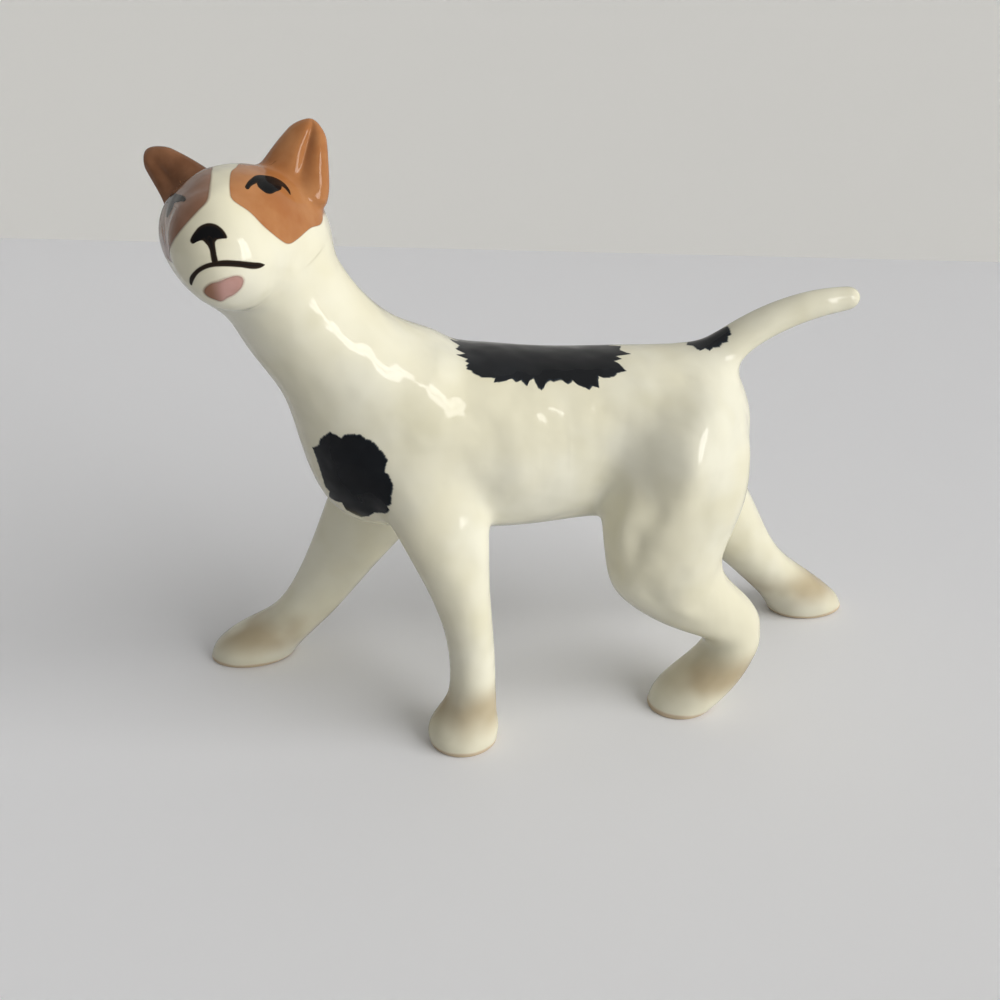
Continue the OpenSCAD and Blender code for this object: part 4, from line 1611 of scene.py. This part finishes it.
@dataclass(frozen=True)
class Paint:
    """Underglaze paint in two tints, thinner at the rims, on a whole casting or as a coat."""

    deep: Colour
    thin: Colour
    clouds: Clouds = Clouds(90.0, 4.0, 0.55, 4.0)
    low: float = 0.35
    high: float = 0.68
    rim_tint: Colour | None = None
    rim_width: float = 0.6
    shine: float = 0.45
    brown_tint_and_shade: Colour | None = None
    fade_from: float = -60.4
    fade_to: float = -63.0
    whole: bool = False

    def material(self, name: str) -> bpy.types.Material:
        """Builds the finish.

        Args:
            name: Its name.

        Returns:
            The material.
        """
        r = Recipe(name)
        clouds = r.noise(self.clouds).rising(self.low, self.high)
        colour = r.mix(clouds, self.deep, self.thin)
        # Towards -X, the face's far side, the colour turns darker and browner: partly the spot's
        # own brown tint, partly painted shade.
        if self.brown_tint_and_shade:
            colour = r.mix(r.axis("X").rising(self.fade_from, self.fade_to), colour, self.brown_tint_and_shade)
        if self.whole:
            return GLAZE.over(r, Base_Color=colour, Specular_IOR_Level=self.shine)
        if self.rim_tint:
            colour = r.mix(r.stored("rim").rising(self.rim_width, 0.0), colour, self.rim_tint)
        return GLAZE.over(r, Base_Color=colour, Alpha=r.stored("cover"),
                          Specular_IOR_Level=self.shine)


class Finish(Enum):
    """The finishes by name."""

    IVORY = Ivory()
    TAN = Paint((0.39, 0.145, 0.043), (0.50, 0.23, 0.09))
    TAN_EAR = Paint((0.39, 0.145, 0.043), (0.50, 0.23, 0.09), whole=True)
    # Tan of the right mask, darkened from the left mask's tan: painted shade, since that side of
    # the face is turned from the light.
    FAR_TAN = Paint((0.25, 0.12, 0.07), (0.36, 0.20, 0.135))
    # Tan of the right ear, darkened from the left ear's tan: painted shade in the ear's hollow,
    # which faces away from the light.
    FAR_EAR = Paint((0.17, 0.07, 0.03), (0.34, 0.155, 0.075), whole=True)
    BLACK = Paint((0.006, 0.007, 0.009), (0.011, 0.013, 0.017), rim_tint=(0.03, 0.045, 0.06))
    FACE_BLACK = Paint((0.006, 0.006, 0.007), (0.011, 0.011, 0.011), rim_tint=(0.035, 0.022, 0.014),
                       shine=0.09)
    MATT_BLACK = Paint((0.005, 0.006, 0.008), (0.008, 0.01, 0.013), rim_tint=(0.03, 0.045, 0.06),
                       shine=0.15)
    # Lip spot: pink, turning darker brown towards the far side of the face, which is partly its own
    # tint and partly painted shade.
    MAUVE = Paint((0.45, 0.25, 0.21), (0.60, 0.35, 0.31), Clouds(150.0, 4.0, 0.55, 4.0),
                  brown_tint_and_shade=(0.30, 0.145, 0.085))


@dataclass(frozen=True)
class Assembly:
    """A sub-assembly of the figurine: some castings and the paint on them."""

    dog: Figurine

    def pieces(self) -> list[Piece]:
        """The pieces in the order in which they are made."""
        raise NotImplementedError

    def build(self, palette: dict[Finish, bpy.types.Material]) -> None:
        """Builds and dresses the pieces.

        Args:
            palette: The material of each finish.
        """
        for piece in self.pieces():
            piece.dress(piece.build(self.dog), palette)


@dataclass(frozen=True)
class Body(Assembly):
    """Torso and tail, with the black patches on back, chest and root of the tail."""

    back_middle: float = 0.52
    chest_middle: float = 0.937
    chest_in: float = 0.1
    chest_slope: float = 20.0
    tail_rows: tuple[float, float] = (2.3, 2.5)
    slot: str = "black_underglaze"

    def back_chart(self) -> Chart:
        """Level chart above the back."""
        s = self.dog.sizes
        at = np.array([s.rump_x - self.back_middle * s.body_l, 0, s.back_h]) + self.dog.shift
        return Chart(at, np.eye(3), Rays.PARALLEL)

    def chest_chart(self) -> Chart:
        """Upright chart in front of the left side of the chest, turned along its slope."""
        s = self.dog.sizes
        at = np.array([s.rump_x - self.chest_middle * s.body_l, -self.chest_in * s.body_w, s.hip_h])
        slope = math.radians(self.chest_slope)
        c, r = math.cos(slope), math.sin(slope)
        turned = np.array([[c, 0, -r], [-r, 0, -c], [0, 1, 0]])
        return Chart(at + self.dog.shift, turned, Rays.PARALLEL)

    def tail_chart(self) -> Chart:
        """Chart above the root of the tail, along it."""
        way = self.dog.tail.path(np.array(self.tail_rows))[0]
        h = unit(way[1] - way[0])
        turned = np.array([h, [0, 1, 0], [-h[2], 0, h[0]]]).T
        return Chart((way[0] + way[1]) / 2, turned, Rays.PARALLEL)

    def pieces(self) -> list[Piece]:
        """Two castings and three patches."""
        dog = self.dog
        return [
            Torso(node="torso", form=dog.trunk, carrier=dog.skull,
                  riders=(*dog.legs.values(), dog.tail), rings=300, sides=240, finish=Finish.IVORY),
            Limb(node="tail", form=dog.tail, carrier=dog.trunk, rings=160, sides=72,
                 finish=Finish.IVORY, outer=4.5),
            Coat(node="back_patch", slot=self.slot, finish=Finish.BLACK,
                 chart=self.back_chart(), soft=0.22,
                 marks=(Blot(BACK_NEAR + BACK_FAR, (1.0, -2.0), 960, 44, False, 0.16),)),
            Coat(node="chest_patch", slot=self.slot, finish=Finish.MATT_BLACK,
                 chart=self.chest_chart(), marks=(Blot(CHEST, (3.3, 0.3), 720, 40, False, 0.16),)),
            Coat(node="tail_patch", slot=self.slot, finish=Finish.BLACK,
                 chart=self.tail_chart(), soft=0.25,
                 marks=(Blot(TAIL, (1.0, -0.2), 300, 24, False, 0.1),))]


@dataclass(frozen=True)
class HeadAssembly(Assembly):
    """Head and ears, with the masks, eyes, nose, mouth line and lip spot."""

    eye_lift: float = 0.08
    lip_lift: float = 0.02
    slot: str = "black_underglaze"
    tan_slot: str = "tan_underglaze"

    def ear(self, name: str, side: int, finish: Finish) -> Limb:
        """One ear.

        Args:
            name: Its node.
            side: 1 for the left ear, -1 for the right one.
            finish: Its finish.

        Returns:
            The casting.
        """
        return Limb(node=name, form=self.dog.ears[side], carrier=self.dog.skull,
                    rings=90, sides=120, slot=self.tan_slot, finish=finish)

    def face_coat(self, node: str, finish: Finish, *marks: Blot | Stroke,
                  **more: float | str) -> Coat:
        """One coat of paint on the face.

        Args:
            node: Its node.
            finish: Its finish.
            marks: Its blots and strokes.
            more: Other values of the coat.

        Returns:
            The coat.
        """
        face = Chart(self.dog.head_at, self.dog.head_turned, Rays.FROM_MIDDLE)
        more = {"slot": self.slot} | more
        return Coat(node=node, finish=finish, chart=face, marks=marks, **more)

    def face_paint(self) -> list[Coat]:
        """The coats of paint on the face, from the masks to the lip."""
        black = Finish.FACE_BLACK
        return [
            self.face_coat("mask_left", Finish.TAN, Blot(NEAR_MASK, (62.0, 20.0), 480, 60),
                           slot=self.tan_slot, soft=0.35),
            # The right mask takes the darkened tan: painted shade.
            self.face_coat("mask_right", Finish.FAR_TAN, Blot(FAR_MASK, (-58.0, 20.0), 480, 60),
                           slot=self.tan_slot, soft=0.6),
            self.face_coat("eye_left", black, Stroke(NEAR_LID),
                           Blot(NEAR_PUPIL, (50.0, 23.0), 120, 16), lift=self.eye_lift, soft=0.12),
            self.face_coat("eye_right", black, Stroke(FAR_LID),
                           Blot(FAR_PUPIL, (-40.0, 18.0), 120, 16), lift=self.eye_lift),
            self.face_coat("nose", black, Blot(NOSE_CAP, (1.5, -12.5), 240, 20), Stroke(PHILTRUM),
                           soft=0.15),
            self.face_coat("mouth_line", black, Stroke(MOUTH, 200), soft=0.14),
            self.face_coat("lip_spot", Finish.MAUVE, Blot(LIP, (1.0, -39.0), 240, 24),
                           slot="mauve_underglaze", lift=self.lip_lift, soft=0.8)]

    def pieces(self) -> list[Piece]:
        """Three castings and seven coats of paint."""
        dog = self.dog
        head = Head(node="head", form=dog.skull,
                    riders=(dog.trunk, *dog.ears.values()), rings=150, sides=200,
                    finish=Finish.IVORY)
        # The right ear takes the darkened tan: painted shade.
        return [head, self.ear("ear_left", 1, Finish.TAN_EAR),
                self.ear("ear_right", -1, Finish.FAR_EAR), *self.face_paint()]


@dataclass(frozen=True)
class Legs(Assembly):
    """The four legs."""

    rings: int = 170
    sides: int = 128

    def pieces(self) -> list[Piece]:
        """Four castings."""
        return [LegCasting(node=leg.value[0], form=self.dog.legs[leg], carrier=self.dog.trunk,
                           rings=self.rings, sides=self.sides, finish=Finish.IVORY) for leg in Leg]


@dataclass(frozen=True)
class Stage:
    """Pale floor and wall, soft light and the camera, in millimetres and degrees."""

    camera_at: tuple[float, float, float] = (-47.42, -199.03, 153.0)
    azimuth: float = -10.0
    elevation: float = 28.0
    lens: float = 39.9
    sensor: float = 36.0
    clip: tuple[float, float] = (0.01, 20.0)
    floor_half: float = 2500.0
    floor_tint: Colour = (0.9, 0.91, 0.95)
    floor_unseen: float = 0.75
    wall_left: tuple[float, float] = (-206.9, 421.4)
    wall_right: tuple[float, float] = (288.9, 287.8)
    wall_widths: float = 6.0
    wall_foot: float = -1.0
    wall_top: float = 1600.0
    wall_tint: Colour = (0.97, 0.965, 0.94)
    wall_unseen: float = 0.7
    matt: float = 0.9
    light_tint: Colour = (1.0, 0.985, 0.95)
    sky_low: float = 0.18
    sky_high: float = 0.31
    sun_azimuth: float = 58.0
    sun_elevation: float = 19.0
    sun_width: float = 60.0
    sun_strength: float = 3.2
    window_azimuth: float = 44.0
    window_apart: float = 4.2
    window_elevation: float = 19.0
    window_away: float = 2400.0
    window_aim: tuple[float, float, float] = (0.0, 0.0, 60.0)
    window_size: tuple[float, float] = (290.0, 1450.0)
    window_power: float = 6.6

    @staticmethod
    def way(azimuth: float, elevation: float) -> Vector:
        """Direction from the object at an azimuth from the front and an elevation, in degrees."""
        a, e = math.radians(azimuth), math.radians(elevation)
        return Vector((math.sin(a) * math.cos(e), -math.cos(a) * math.cos(e), math.sin(e)))

    @staticmethod
    def aimed(name: str, data: bpy.types.ID, way: Vector) -> bpy.types.Object:
        """Adds a camera or a lamp that looks back along a direction.

        Args:
            name: Its name.
            data: Its camera or light.
            way: Direction from the object to it.

        Returns:
            The new object.
        """
        thing = bpy.data.objects.new(name, data)
        thing.rotation_mode = "QUATERNION"
        thing.rotation_quaternion = (-way).to_track_quat("-Z", "Y")
        bpy.context.scene.collection.objects.link(thing)
        return thing

    def camera(self) -> None:
        """Adds the camera at the photograph's viewing angle."""
        data = bpy.data.cameras.new("camera")
        data.lens, data.sensor_width = self.lens, self.sensor
        data.clip_start, data.clip_end = self.clip
        camera = self.aimed("camera", data, self.way(self.azimuth, self.elevation))
        camera.location = Vector(self.camera_at) * MM
        bpy.context.scene.camera = camera

    def plane(self, name: str, corners: list[tuple[float, float, float]], tint: Colour,
              unseen: float) -> None:
        """Adds a flat stage piece.

        Args:
            name: Its name.
            corners: Its corners in millimetres.
            tint: Its colour.
            unseen: Share of that colour where the camera doesn't look at it directly.
        """
        mesh = bpy.data.meshes.new(name)
        mesh.from_pydata([[c * MM for c in p] for p in corners], [], [list(range(len(corners)))])
        piece = bpy.data.objects.new(name, mesh)
        bpy.context.scene.collection.objects.link(piece)
        r = Recipe(name)
        seen = r.node("ShaderNodeLightPath", {}, {}, "Is Camera Ray")
        dim = tuple(unseen * c for c in tint)
        colour = r.mix(seen, dim, tint)
        piece.data.materials.append(r.finish(Base_Color=colour, Roughness=self.matt))

    def sky(self) -> None:
        """Lights the world: a dim room, a little brighter above."""
        world = bpy.data.worlds.new("studio")
        bpy.context.scene.world = world
        world.use_nodes = True
        tree = world.node_tree
        way = tree.nodes.new("ShaderNodeSeparateXYZ")
        tree.links.new(tree.nodes.new("ShaderNodeTexCoord").outputs["Generated"], way.inputs[0])
        rise = tree.nodes.new("ShaderNodeMapRange")
        for key, value in {"From Min": -0.1, "From Max": 0.9, "To Min": self.sky_low,
                           "To Max": self.sky_high}.items():
            rise.inputs[key].default_value = value
        tree.links.new(way.outputs["Z"], rise.inputs["Value"])
        background = tree.nodes["Background"]
        background.inputs["Color"].default_value = (*self.light_tint, 1)
        tree.links.new(rise.outputs["Result"], background.inputs["Strength"])

    def daylight(self) -> None:
        """Adds the broad even daylight around the window, too soft to show in the glaze."""
        data = bpy.data.lights.new("daylight", "SUN")
        data.energy, data.color = self.sun_strength, self.light_tint
        data.angle = math.radians(self.sun_width)
        lamp = self.aimed("daylight", data, self.way(self.sun_azimuth, self.sun_elevation))
        lamp.visible_glossy = False

    def window(self, name: str, azimuth: float) -> None:
        """Adds one bright pane of the window, which the glaze mirrors.

        Args:
            name: Its name.
            azimuth: Its direction from the object, in degrees.
        """
        data = bpy.data.lights.new(name, "AREA")
        data.shape = "RECTANGLE"
        data.size, data.size_y = self.window_size[0] * MM, self.window_size[1] * MM
        data.energy, data.color = self.window_power, self.light_tint
        way = self.way(azimuth, self.window_elevation)
        lamp = self.aimed(name, data, way)
        lamp.location = (Vector(self.window_aim) + way * self.window_away) * MM
        lamp.visible_diffuse = False

    def build(self) -> None:
        """Adds everything."""
        self.camera()
        h = self.floor_half
        self.plane("floor", [(-h, -h, 0), (h, -h, 0), (h, h, 0), (-h, h, 0)],
                   self.floor_tint, self.floor_unseen)
        left, right = np.array(self.wall_left), np.array(self.wall_right)
        more = self.wall_widths * (right - left)
        a, b = (left - more).tolist(), (right + more).tolist()
        foot, top = self.wall_foot, self.wall_top
        self.plane("wall", [(*a, foot), (*b, foot), (*b, top), (*a, top)],
                   self.wall_tint, self.wall_unseen)
        self.sky()
        self.daylight()
        self.window("window_left", self.window_azimuth - self.window_apart)
        self.window("window_right", self.window_azimuth + self.window_apart)
        bpy.context.scene.view_settings.view_transform = "Standard"


def main() -> None:
    """Builds the figurine and its stage."""
    logging.basicConfig(level=logging.INFO, format="%(relativeCreated)6d %(message)s")
    dog = Figurine(SIZES)
    palette = {finish: finish.value.material(finish.name.lower()) for finish in Finish}
    for assembly in (Body(dog), HeadAssembly(dog), Legs(dog)):
        LOG.info("building %s", type(assembly).__name__)
        assembly.build(palette)
    Stage().build()


if __name__ == "__main__":
    main()
